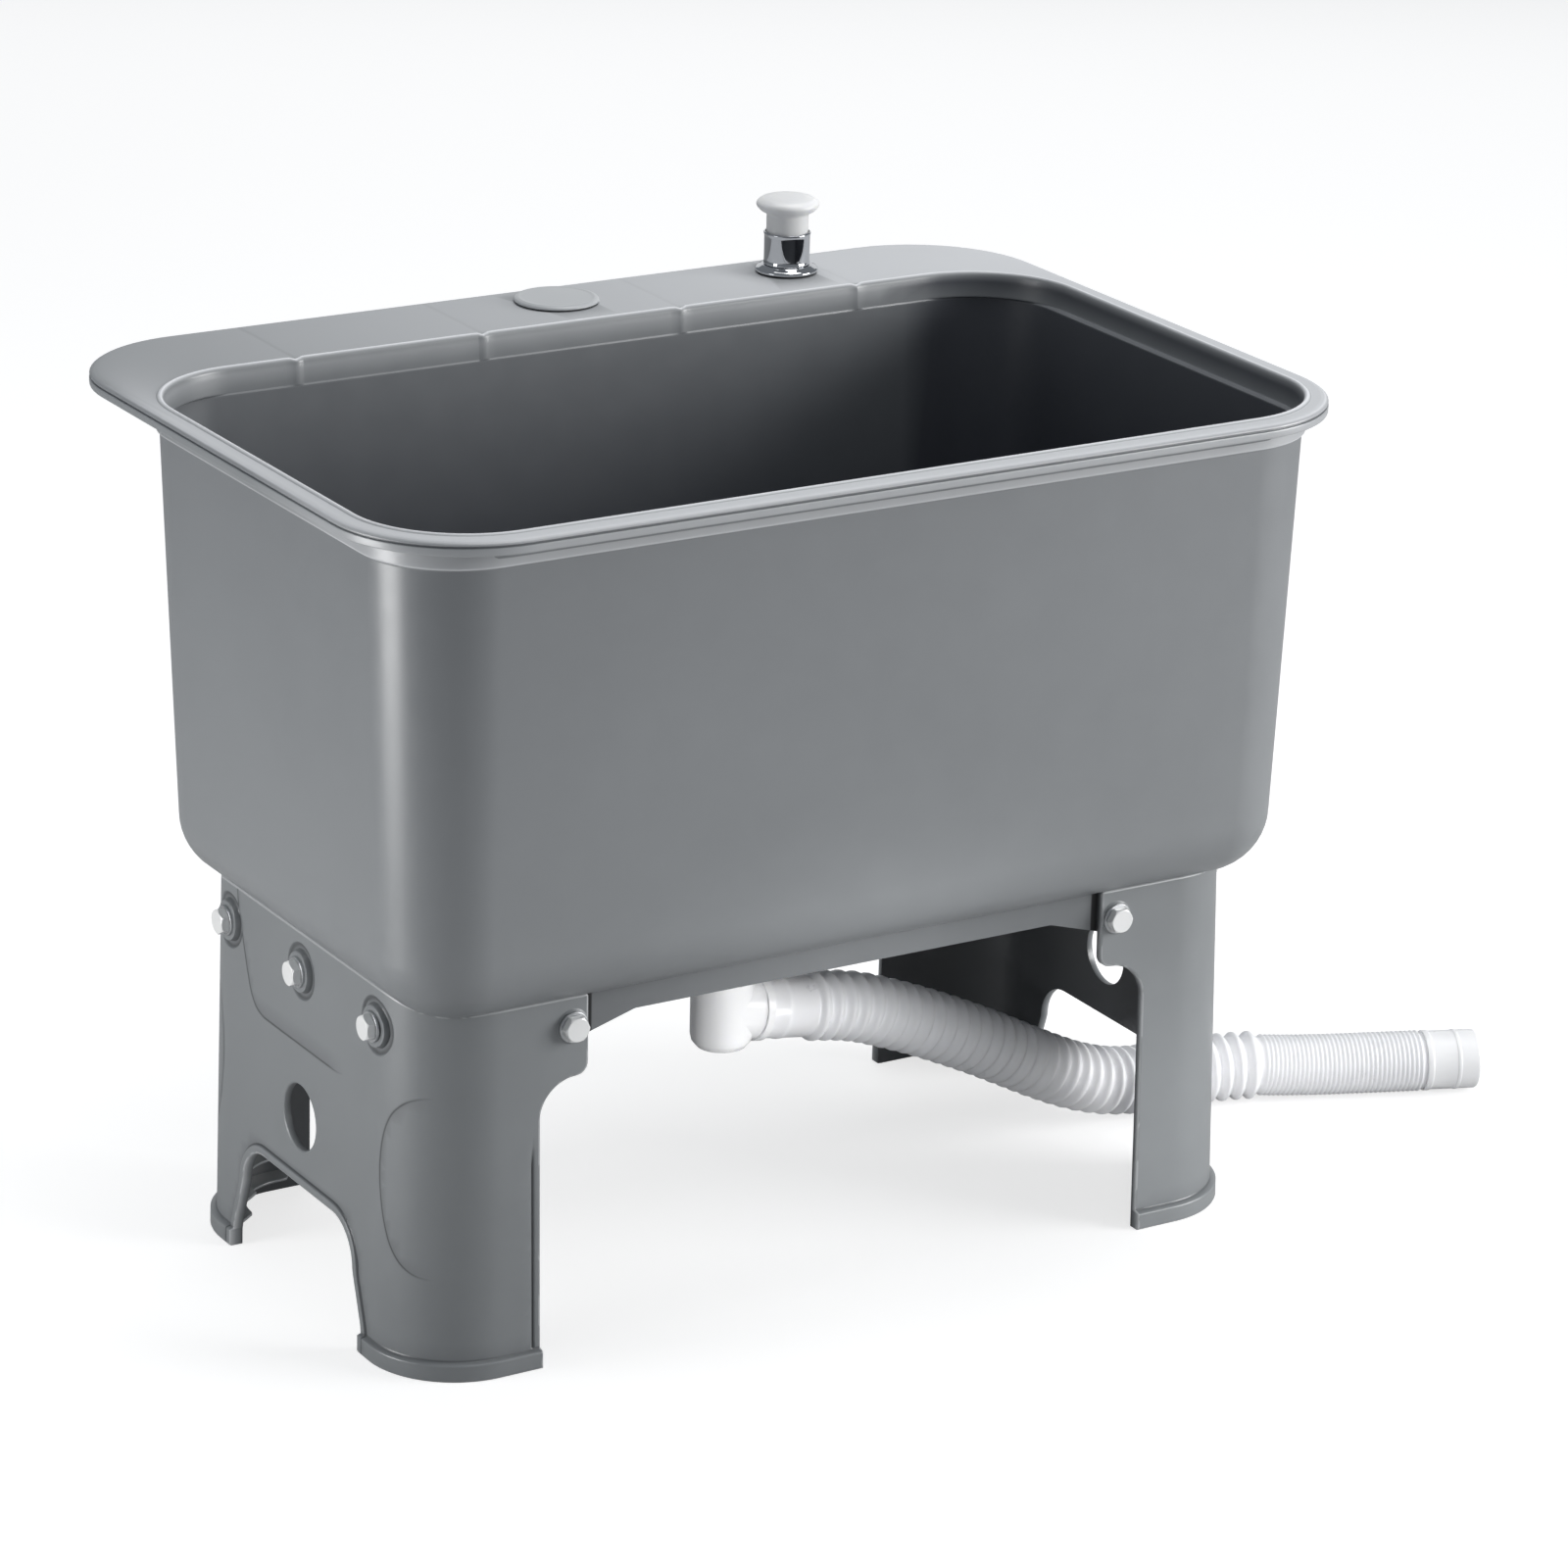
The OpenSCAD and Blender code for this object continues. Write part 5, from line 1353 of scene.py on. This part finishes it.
@dataclass
class Turned:
    """One turned piece on an upright axis.

    Attributes:
        name: The piece's name.
        slot: The record's material slot.
        body: The body that it rides on.
        nodes: The CAD nodes that it stands for.
        centre: A point on its axis.
        profile: Radius and height, one a row, from the inside bottom outwards and up.
        reach: Reach of the rounding at its corners.
    """

    name: str
    slot: str
    body: Body
    nodes: tuple[str, ...]
    centre: Point
    profile: tuple[tuple[float, float], ...]
    reach: float = 0.4

    def build(self, shop: Shop) -> bpy.types.Object:
        """Round the profile and turn it."""
        line = np.array(self.profile, float)
        closes = line[0, 0] > 0 and line[-1, 0] > 0
        rounded = (soften_loop if closes else soften)(line, self.reach, 4)
        points, faces = spun(rounded, self.centre)
        return shop.piece(self.name, points, faces, self.slot, self.body, *self.nodes)


@dataclass
class DeckFittings:
    """The cap over the tap hole, and the push control with its chrome, head and spring.

    Attributes:
        place: Shared places.
        neck_z: Height of the control's mouth over the deck's seal.
        coil: Radius, wire, turns, points round the wire and steps a turn of the return spring.
        stroke: How far the head goes down; not used.
    """

    place: Layout = field(default_factory=Layout)
    neck_z: float = 20.5
    coil: tuple[float, float, int, int, int] = (7.4, 1.4, 5, 12, 32)
    stroke: float = 8.0

    def build(self, shop: Shop) -> None:
        """Build the fittings on the deck."""
        p = self.place
        top = p.deck_z + p.seal
        cap, base = (p.cap_x, p.deck_y, top), (p.control_x, p.deck_y, top)
        head = (p.control_x, p.deck_y, top + self.neck_z)
        for turned in (
                Turned("tap_hole_cap_made", "cap_plastic", Body.CAP, ("tap_hole_cap",), cap, (
                    (0.0, 0.0), (15.1, 0.0), (15.1, -9.0), (16.3, -9.0), (17.1, -7.5), (17.1, 0.0),
                    (24.0, 0.0), (24.0, 0.9), (23.2, 1.7), (21.4, 2.2), (19.6, 2.0), (10.0, 2.25),
                    (0.0, 2.4)), 0.35),
                Turned("control_flange_made", "chrome_trim", Body.SINK, ("control_flange",), base, (
                    (10.1, 0.0), (17.6, 0.0), (18.0, 0.5), (18.0, 1.5), (17.1, 2.5), (15.4, 3.3),
                    (14.3, 4.0), (10.1, 4.0)), 0.5),
                Turned("control_body_made", "chrome_body", Body.SINK, ("control_body",), base, (
                    (7.05, -30.0), (9.4, -30.0), (10.0, -29.2), (10.0, 4.0), (13.0, 4.0), (13.5, 4.6),
                    (13.1, 6.4), (13.1, 20.8), (13.5, 22.0), (13.5, 22.6), (13.0, 23.1), (12.5, 23.1),
                    (12.5, 6.3), (7.05, 6.3)), 0.6),
                Turned("press_head_made", "pale_plastic", Body.PRESS, ("press_head",), head, (
                    (0.0, 17.5), (4.02, 17.5), (4.02, 12.0), (9.5, 12.0), (9.5, -4.0), (12.0, -4.0),
                    (12.0, 12.6), (13.0, 14.0), (15.2, 14.6), (17.4, 16.8), (18.2, 18.4), (17.4, 20.2),
                    (14.9, 21.9), (10.2, 22.8), (0.0, 23.3)), 0.9)):
            turned.build(shop)
        shop.dress_all((
            ("cap_seal", "black_rubber", Body.SINK, 0.25),
            ("control_gasket", "black_rubber", Body.SINK, 0.25),
            ("guide_bush", "bush_plastic", Body.SINK, 0.2),
            ("press_stem", "stem_steel", Body.PRESS, 0.5),
            ("stem_clip", "clip_steel", Body.PRESS, 0.15),
            ("control_washer", "black_rubber", Body.SINK, 0.25),
            ("control_nut", "brass_nut", Body.SINK, 0.5)))
        self.spring(shop)

    def spring(self, shop: Shop) -> None:
        """Wind the return spring.

        At angle t the wire's middle lies at (r cos t, r sin t) and rises evenly. The wire's rim is
        a circle round it, and a flat face closes each end.
        """
        radius, wire, turns, sides, steps = self.coil
        x, y = self.place.control_x, self.place.deck_y
        low, high = (corner[2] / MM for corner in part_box("return_spring"))
        share = np.linspace(0.0, 1.0, turns * steps + 1)[:, None]
        around = np.arange(sides) * 2 * np.pi / sides
        angle, reach = 2 * np.pi * turns * share, radius + wire / 2 * np.cos(around)
        z = low + wire / 2 + (high - low - wire) * share + wire / 2 * np.sin(around)
        points = np.stack([x + reach * np.cos(angle), y + reach * np.sin(angle), z], axis=-1)
        last = sides * (len(share) - 1)
        faces = grid_faces(len(share), sides, False, True).tolist()
        faces += [list(range(sides)), list(range(last, last + sides))]
        made = shop.piece("return_spring_made", points, faces, "spring_steel", Body.SINK, "return_spring")
        face_outwards(made)
        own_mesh(made)


class Waste:
    """The waste in the basin's floor, its nut, basket, slip nut and elbow."""

    def build(self, shop: Shop) -> None:
        """Build the waste."""
        shop.dress_all((
            ("waste_flange", "waste_plastic", Body.SINK, 0.5),
            ("flange_seal", "black_rubber", Body.SINK, 0.3),
            ("waste_gasket", "black_rubber", Body.SINK, 0.3),
            ("waste_lock_nut", "nut_plastic", Body.SINK, 0.5),
            ("strainer_basket", "basket_steel", Body.BASKET, 0.25),
            ("slip_nut", "nut_plastic", Body.SINK, 0.5),
            ("slip_seal", "black_rubber", Body.SINK, 0.25),
            ("waste_elbow", "elbow_plastic", Body.SINK, 0.8)))


@dataclass
class LegUnit:
    """One moulded leg unit: an end panel, two round corners and two returns with flares.

    Its outer face is a sheet over (u, z). u runs round the plan, from 0 in the middle of the end
    panel along the straight, the corner and the return; positive u lies at the back. All sunk
    fields, borders, seats and grooves are heights over that sheet.

    Attributes:
        side: The end of the sink.
        place: Shared places.
        half: Half length and half width of the plan at the top.
        corner: Radius of the corners.
        wall: Thickness.
        splay: Lean of the faces in degrees.
        return_x: Inner edge of the returns and of the flares.
        flare: Height, inner radius and tip radius of the flares.
        arch: Half width at the floor, half width at the shoulders, height and radius of the arch.
        border: Width of the arch's border.
        hole: Height and radius of the round hole.
        pad: How far the fields are sunk and the arch's border stands proud.
        foot: Height and reach of the foot's rim.
        bolts: Height and spacing of the end bolts.
        moat: Inner and outer radius of the ring round each bolt, its level and the seat's level.
        front_bolt: Place and seat radius of the return's bolt, and how proud the seat stands.
        shelves: Heights, thickness and reach of the shelves inside the foot.
        basin_plan: Middle, half length, half width and corner radius of the basin's walls at the top.
        basin_edge: Radius of the basin's bottom edge, and how far the walls lean in above it.
        strip: Place, half width, top and depth of the groove along the return's edge.
        shadow: How strong the painted shade lines are at the foot and at a seat, the painted highlight on the
            edges and the painted shade on the inner face.
        bolt_field: Outline of the field round the bolts, as y and depth under the top.
        corner_field: Outline of a corner's field, as distance from the side and depth under the top.
    """

    side: Side
    place: Layout = field(default_factory=Layout)
    half: tuple[float, float] = (257.5, 134.0)
    corner: float = 48.0
    wall: float = 4.0
    splay: float = 1.0
    return_x: tuple[float, float] = (187.5, 159.0)
    flare: tuple[float, float, float] = (159.0, 21.5, 7.0)
    arch: tuple[float, float, float, float] = (76.0, 65.0, 66.0, 24.0)
    border: float = 5.0
    hole: tuple[float, float] = (104.0, 18.25)
    pad: float = 1.3
    foot: tuple[float, float] = (10.0, 3.5)
    bolts: tuple[float, float] = (187.0, 86.0)
    moat: tuple[float, float, float, float] = (11.5, 15.5, -1.0, 2.0)
    front_bolt: tuple[float, float, float] = (168.5, 9.2, 0.7)
    shelves: tuple[float, float, float, float] = (10.0, 24.0, 2.0, 12.0)
    basin_plan: tuple[float, float, float, float] = (-28.0, 278.4, 163.4, 51.0)
    basin_edge: tuple[float, float] = (35.0, 7.32)
    strip: tuple[float, float, float, float] = (4.6, 0.55, 126.0, 1.1)
    shadow: tuple[float, float, float, float] = (0.8, 0.7, -0.5, 0.85)
    bolt_field: tuple[tuple[float, float], ...] = (
        (43, 57), (52, 55), (59, 48), (64, 36), (72, 14), (76, 2), (79, -20))
    corner_field: tuple[tuple[float, float], ...] = (
        (10, 45), (17, 46), (25, 50), (33, 58), (38, 68), (41, 80), (42, 92), (41, 105), (38, 119),
        (33, 132), (26, 141), (18, 146), (10, 147))

    @property
    def straight(self) -> float:
        """Half length of the end panel's straight part."""
        return self.half[1] - self.corner

    def spread(self, z: Array) -> Array:
        """How much wider the plan is at a height."""
        return (self.place.leg_h - z) * math.tan(math.radians(self.splay))

    def from_y(self, y: Array, z: Array) -> Array:
        """u of a place on the end panel or its corners; in a corner y = straight + r sin(angle)."""
        s = self.spread(z)
        over = np.clip((np.abs(y) - self.straight - s) / self.corner, 0.0, 1.0)
        level = np.minimum(np.abs(y), self.straight + s) * self.straight / (self.straight + s)
        return np.sign(y) * (level + self.corner * np.arcsin(over))

    def from_x(self, x: Array, z: Array) -> Array:
        """u of a place on the back return."""
        return self.straight + self.corner * np.pi / 2 + self.half[0] + self.spread(z) - self.corner - x

    def solid_place(self, sheet: Array, raised: Array, z: Array) -> Array:
        """Points of the sheet, raised square to the plan.

        Args:
            sheet: u and z, one a row.
            raised: Height over the sheet.
            z: Height of each point, where it differs from the sheet's.

        Returns:
            The points.
        """
        u, s = sheet[:, 0], self.spread(sheet[:, 1])
        over = np.clip(np.abs(u) - self.straight, 0.0, None)
        arc = np.clip(over, 0.0, self.corner * np.pi / 2)
        a, way = arc / self.corner, np.sign(u)
        reach = self.corner + raised
        x = self.half[0] + s - self.corner + reach * np.cos(a) - (over - arc)
        level = np.minimum(np.abs(u), self.straight) * (self.straight + s) / self.straight
        y = way * (level + reach * np.sin(a))
        return np.stack([self.side.value * x, self.place.legs_y + y, z], axis=1)

    def seat_height(self, u: Array, inwards: float) -> Array:
        """Height where the basin's round bottom crosses the wall.

        Drawn in by i from its top ring, the bottom lies at bottom + R (1 - sin a) with
        cos a = 1 - (i - lean) / R.
        """
        middle, half_x, half_y, corner = self.basin_plan
        r, lean = self.basin_edge
        level = level_line(u, self.place.leg_h + 4.0)
        at = self.solid_place(level, np.full_like(u, -inwards), u)
        away = np.abs(at[:, :2] - (0.0, middle)) - (half_x - corner, half_y - corner)
        outside = np.linalg.norm(np.maximum(away, 0.0), axis=1) + np.minimum(away.max(axis=1), 0.0) - corner
        cosine = np.clip(1.0 - (-outside - lean) / r, 0.0, 1.0)
        return self.place.leg_h + r * (1.0 - np.sqrt(1.0 - cosine ** 2)) - 0.3

    def arch_outline(self, more: float) -> Array:
        """The arch, grown, from the front foot over the top to the back foot, as y and z."""
        foot, top, height, r = (size + more for size in self.arch)
        a = np.radians(np.linspace(0.0, 90.0, 16))
        shoulder = np.stack([top - r + r * np.cos(a), height - r + r * np.sin(a)], axis=1)
        back = np.concatenate([[[foot, -4.0], [foot, 9.0], [foot - 1.2, 15.0]], shoulder])
        return np.concatenate([back * (-1.0, 1.0), back[::-1]])

    def outline(self) -> Array:
        """The sheet's outline, counterclockwise, as u and z."""
        height, inner, tip = self.flare
        b = np.linspace(0.0, np.pi / 2, 12)
        edge, far = self.return_x
        x = np.concatenate([
            [edge, edge], edge - inner + inner * np.cos(b[1:]), far + tip - tip * np.sin(b), [far]])
        z = np.concatenate([
            [0.0, 60.0], height - inner + inner * np.sin(b[1:]), height + tip - tip * np.cos(b), [196.0]])
        back = np.stack([self.from_x(x, z), z], axis=1)
        end = back[-1, 0]
        u = np.linspace(end, -end, 220)
        top = np.stack([u, self.seat_height(u, 0.0)], axis=1)
        arch = self.arch_outline(0.0)
        arch[:, 1] = np.maximum(arch[:, 1], 0.0)
        arch = np.stack([self.from_y(arch[:, 0], arch[:, 1]), arch[:, 1]], axis=1)
        front = back * (-1.0, 1.0)
        return np.concatenate([front[:1], arch, back, top, front[:0:-1]])

    def circle(self, y: float, z: float, r: float, steps: int = 72) -> Array:
        """A circle on the end panel, as u and z."""
        a = np.arange(steps) * 2 * np.pi / steps
        u = float(self.from_y(np.array(y), np.array(z)))
        return np.stack([u + r * np.cos(a), z + r * np.sin(a)], axis=1)

    def fields(self) -> list[Array]:
        """Outlines of the fields, sunk round the bolts and beside the corners, raised round the arch."""
        right = np.array(self.bolt_field, float)
        bolt = np.concatenate([right, (right * (-1.0, 1.0))[::-1]])
        made = [np.stack([bolt[:, 0], self.place.leg_h - bolt[:, 1]], axis=1)]
        edge = np.array(self.corner_field, float)
        edge = np.concatenate([[[-40.0, 40.0]], edge, [[-40.0, 147.0]]])
        for way in (1.0, -1.0):
            z = self.place.leg_h - edge[:, 1]
            u = np.where(edge[:, 0] < 0, way * 170.0, self.from_y(way * (self.half[1] - edge[:, 0]), z))
            made.append(np.stack([u, z], axis=1))
        arch = self.arch_outline(self.border)
        made.append(np.stack([self.from_y(arch[:, 0], arch[:, 1]), arch[:, 1]], axis=1))
        rounded = []
        for shape in made:
            shape = soften_loop(shape, 6.0, 4)
            rounded.append(shape if signed_area(shape) > 0 else shape[::-1])
        return [even_points(shape, 1.6) for shape in rounded]

    def relief(self, sheet: Array, outline: Array) -> tuple[Array, Array]:
        """Height over the sheet, and the painted shade at the feet of the steps and the painted highlight on
        the edges.

        Args:
            sheet: u and z, one a row.
            outline: The sheet's outline.

        Returns:
            Heights in millimetres, and a value from 1 for painted shade to -1 for painted highlight.
        """
        u, z = sheet[:, 0], sheet[:, 1]
        height, line = np.zeros(len(sheet)), np.zeros(len(sheet))
        foot_h, foot_out = self.foot
        painted_foot_shade, painted_seat_shade, painted_edge_highlight, _ = self.shadow
        fade = 1.0 - ramp(np.abs(u), 108.0, 18.0)
        way = u * self.side.value
        shares = (1.0 - ramp(way, 32.0, 18.0), fade, fade, np.ones_like(fade))
        for number, (shape, share) in enumerate(zip(self.fields(), shares)):
            away, raised = outline_distance(sheet, shape), number == 3
            inside = self.pad * smooth_step(away, 1.0) * share
            height = np.maximum(height, inside) if raised else height - inside
            # Painted shade along the foot of each field's step.
            line = np.maximum(line, ridge(away, 0.5 if raised else -0.5, 0.6) * share)
        height = np.maximum(height, foot_out * smooth_step(z - foot_h, 1.2))
        # Painted shade along the foot's rim.
        line = np.maximum(line, ridge(z, foot_h + 0.8, 0.6) * painted_foot_shade)
        seat_r, moat_r, moat_low, seat_high = self.moat
        for k in (-1.0, 0.0, 1.0):
            centre = self.from_y(np.array(k * self.bolts[1]), np.array(self.bolts[0]))
            r = np.hypot(u - centre, z - self.bolts[0])
            ring, seat = smooth_step(r - moat_r, 1.0), smooth_step(r - seat_r, 1.0)
            height = height * (1.0 - ring) + ring * (moat_low * (1.0 - seat) + seat_high * seat)
            # Painted shade in the ring round each bolt and at the foot of its seat.
            line = line * (1.0 - ring) + ridge(r, moat_r - 0.9, 0.7)
            line = np.maximum(line, painted_seat_shade * ridge(r, seat_r + 0.7, 0.6))
        bolt_x, bolt_r, bolt_high = self.front_bolt
        r = np.hypot(np.abs(u) - self.from_x(np.array(bolt_x), np.array(self.bolts[0])), z - self.bolts[0])
        height += bolt_high * smooth_step(r - bolt_r, 0.6)
        place, half, top, depth = self.strip
        across = self.from_x(np.array(self.return_x[0]), z) - np.abs(u)
        groove = ridge(across, place, half) * ramp(-z, -top, 10.0) * (z > foot_h + 1.0) * (way > 0.0)
        height -= depth * groove
        # Painted shade in the groove along the return's edge.
        line = np.maximum(line, groove)
        rim = np.clip(-outline_distance(sheet, outline), 0.0, 1.0)
        height -= rounded_over(rim)
        # Painted highlight along the sheet's edges.
        line = np.where(rim < 1.0, painted_edge_highlight, line)
        return height, np.clip(line, -1.0, 1.0)

    def sheet(self) -> tuple[Array, Array, Array]:
        """Triangles of the sheet, dense beside every step.

        Returns:
            Points as u and z, triangles counterclockwise, and the outline.
        """
        outline = even_points(self.outline(), 2.2)
        hole = self.circle(0.0, *self.hole)
        rim = (0.0, 0.25, 1.0, 1.5)
        closed = [grown(outline, -d) for d in rim] + [grown(hole, d) for d in rim]
        steps = (-1.2, -0.5, -0.17, 0.17, 0.5, 1.2)
        closed += [grown(shape, d) for shape in self.fields() for d in steps]
        closed += [self.circle(k * self.bolts[1], self.bolts[0], r + d) for k in (-1, 0, 1)
                   for r in self.moat[:2] for d in steps]
        u = np.linspace(-215.0, 215.0, 150)
        open_lines = [level_line(u, self.foot[0] + d) for d in (-1.4, -0.6, -0.2, 0.2, 0.6, 1.6)]
        z = np.linspace(self.foot[0] + 1.0, 130.0, 24)
        seat_u = float(self.from_x(np.array(self.front_bolt[0]), np.array(self.bolts[0])))
        a = np.arange(48) * np.pi / 24
        for way in (-1.0, 1.0):
            open_lines += [np.stack([way * (self.from_x(np.array(self.return_x[0]), z) - d), z], axis=1)
                           for d in (3.2, 4.1, 4.6, 5.1, 6.0)]
            closed += [np.stack([way * seat_u + r * np.cos(a), self.bolts[0] + r * np.sin(a)], axis=1)
                       for r in (self.front_bolt[1] + d for d in (-0.6, -0.3, 0.3, 0.6))]
        grid = np.stack(np.meshgrid(np.arange(-213.0, 214.0, 3.4), np.arange(3.0, 210.0, 9.0)), axis=-1)
        grid = grid.reshape(-1, 2)
        lines = np.concatenate(closed + open_lines)
        gap = np.concatenate([np.min(np.hypot(*(some[:, None] - lines[None]).transpose(2, 0, 1)), axis=1)
                              for some in np.array_split(grid, 12)])
        points = np.concatenate([lines, grid[gap > 1.8]])
        edges, first = [], 0
        for shape in closed + open_lines:
            here = np.arange(first, first + len(shape))
            pairs = np.stack([here, np.roll(here, -1)], axis=1)
            edges.append(pairs if len(edges) < len(closed) else pairs[:-1])
            first += len(shape)
        pairs = np.concatenate(edges).tolist()
        made = delaunay_2d_cdt([Vector(p) for p in points.tolist()], pairs, [], 0, 0.01)
        flat, corners = np.array([tuple(v) for v in made[0]]), np.array(made[2])
        middle = flat[corners].mean(axis=1)
        keep = (outline_distance(middle, outline) < 0) & (outline_distance(middle, hole) > 0)
        corners = corners[keep]
        a, b, c = (flat[corners[:, k]] for k in range(3))
        turned = (b[:, 0] - a[:, 0]) * (c[:, 1] - a[:, 1]) - (b[:, 1] - a[:, 1]) * (c[:, 0] - a[:, 0])
        corners = corners[np.abs(turned) > 1e-7]
        turned = turned[np.abs(turned) > 1e-7]
        corners[turned < 0] = corners[turned < 0][:, ::-1]
        used, corners = np.unique(corners, return_inverse=True)
        return flat[used], corners.reshape(-1, 3), outline

    def build(self, shop: Shop) -> None:
        """Build the panel and the shelves inside its feet."""
        sheet, corners, outline = self.sheet()
        hole = self.circle(0.0, *self.hole)
        height, line = self.relief(sheet, outline)
        height -= rounded_over(np.clip(outline_distance(sheet, hole), 0.0, 1.0))
        outer = self.solid_place(sheet, height, sheet[:, 1])
        low = np.minimum(sheet[:, 1], self.seat_height(sheet[:, 0], self.wall))
        inner = self.solid_place(sheet, np.full(len(sheet), -self.wall), low)
        count = len(sheet)
        sides = np.concatenate([corners[:, [0, 1]], corners[:, [1, 2]], corners[:, [2, 0]]])
        alone = ~np.isin(sides[:, 0] * count + sides[:, 1], sides[:, 1] * count + sides[:, 0])
        a, b = sides[alone].T
        walls = np.stack([a, a + count, b + count, b], axis=1)
        faces = corners.tolist() + (corners[:, ::-1] + count).tolist() + walls.tolist()
        if self.side is Side.LEFT:
            faces = [face[::-1] for face in faces]
        name = f"{self.side.name.lower()}_leg_panel"
        # Painted shade over the whole inner face.
        line = np.concatenate([line, np.full(count, self.shadow[3])])
        panel = shop.piece(name + "_made", np.concatenate([outer, inner]), faces, "leg_plastic",
                           Body.SINK, name, shading=Shading.SOFT, values={"line": line})
        panel.data.set_sharp_from_angle(angle=math.radians(66.0))
        weights = panel.modifiers.new("level faces", "WEIGHTED_NORMAL")
        weights.keep_sharp = True
        self.shelf_pieces(shop)

    def shelf_pieces(self, shop: Shop) -> None:
        """Build the shelves, each a flat bar swept along the inner face beside the arch."""
        thick, reach = self.shelves[2:]
        out, end = self.wall + reach, self.side.name.lower()
        section = soften_loop(np.array([[-2.5, 0.0], [-out, 0.2], [-out, thick - 0.2], [-2.5, thick]]), 0.6)
        count = len(section)
        for level, bottom in enumerate(self.shelves[:2]):
            foot, top = self.arch[:2]
            near = float(np.interp(bottom, (0.0, 12.0, 42.0), (foot, foot, top))) + 0.5
            z = np.array(bottom)
            first = self.from_y(np.array(near), z) + 2.0
            last = self.from_x(np.array(self.return_x[0] + 0.5), z) - 11.0
            for way, where in ((-1.0, "front"), (1.0, "back")):
                u = np.linspace(float(first), float(last), 48) * way
                slim = np.clip(np.minimum(np.abs(u - u[0]), np.abs(u - u[-1])) / 9.0, 0.05, 1.0)
                most = -self.wall - reach * slim
                rings = np.stack([
                    self.solid_place(level_line(u, bottom), np.maximum(w, most), np.full_like(u, bottom + h))
                    for w, h in section], axis=1)
                faces = grid_faces(len(u), count, False, True).tolist()
                faces += [list(range(count))[::-1], list(range((len(u) - 1) * count, len(u) * count))]
                made = shop.piece(f"{end}_foot_shelf_{level}_{where}", rings, faces, "leg_plastic", Body.SINK,
                                  f"{end}_leg_panel", values={"line": np.zeros(len(u) * count)})
                face_outwards(made)


@dataclass
class Stand:
    """The two leg units, the rails between them and all the bolts."""

    place: Layout = field(default_factory=Layout)

    def build(self, shop: Shop) -> None:
        """Build the stand."""
        for side in Side:
            LegUnit(side, self.place).build(shop)
        shop.dress_all((
            ("front_rail", "rail_plastic", Body.SINK, 0.8),
            ("back_rail", "rail_plastic", Body.SINK, 0.8),
            ("left_end_bolts", "zinc_bolt", Body.SINK, 0.45),
            ("right_end_bolts", "zinc_bolt", Body.SINK, 0.45),
            ("front_rail_bolts", "zinc_bolt", Body.SINK, 0.45),
            ("back_rail_bolts", "zinc_bolt", Body.SINK, 0.45)), segments=3)
        shop.dress_all((
            ("end_bolt_washers", "washer_steel", Body.SINK, 0.3),
            ("rail_bolt_washers", "washer_steel", Body.SINK, 0.3),
            ("end_bolt_nuts", "nut_steel", Body.SINK, 0.5),
            ("rail_bolt_nuts", "nut_steel", Body.SINK, 0.5)))


def main() -> None:
    """Load the frame, build every sub-assembly in order and set up the studio."""
    logging.basicConfig(level=logging.INFO, format="%(message)s")
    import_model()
    studio = Studio()
    studio.camera()
    shop = Shop()
    DrainHose().build(shop)
    Basin().build(shop)
    Stand().build(shop)
    DeckFittings().build(shop)
    Waste().build(shop)
    studio.build()
    bpy.context.view_layer.update()


if __name__ == "__main__":
    main()
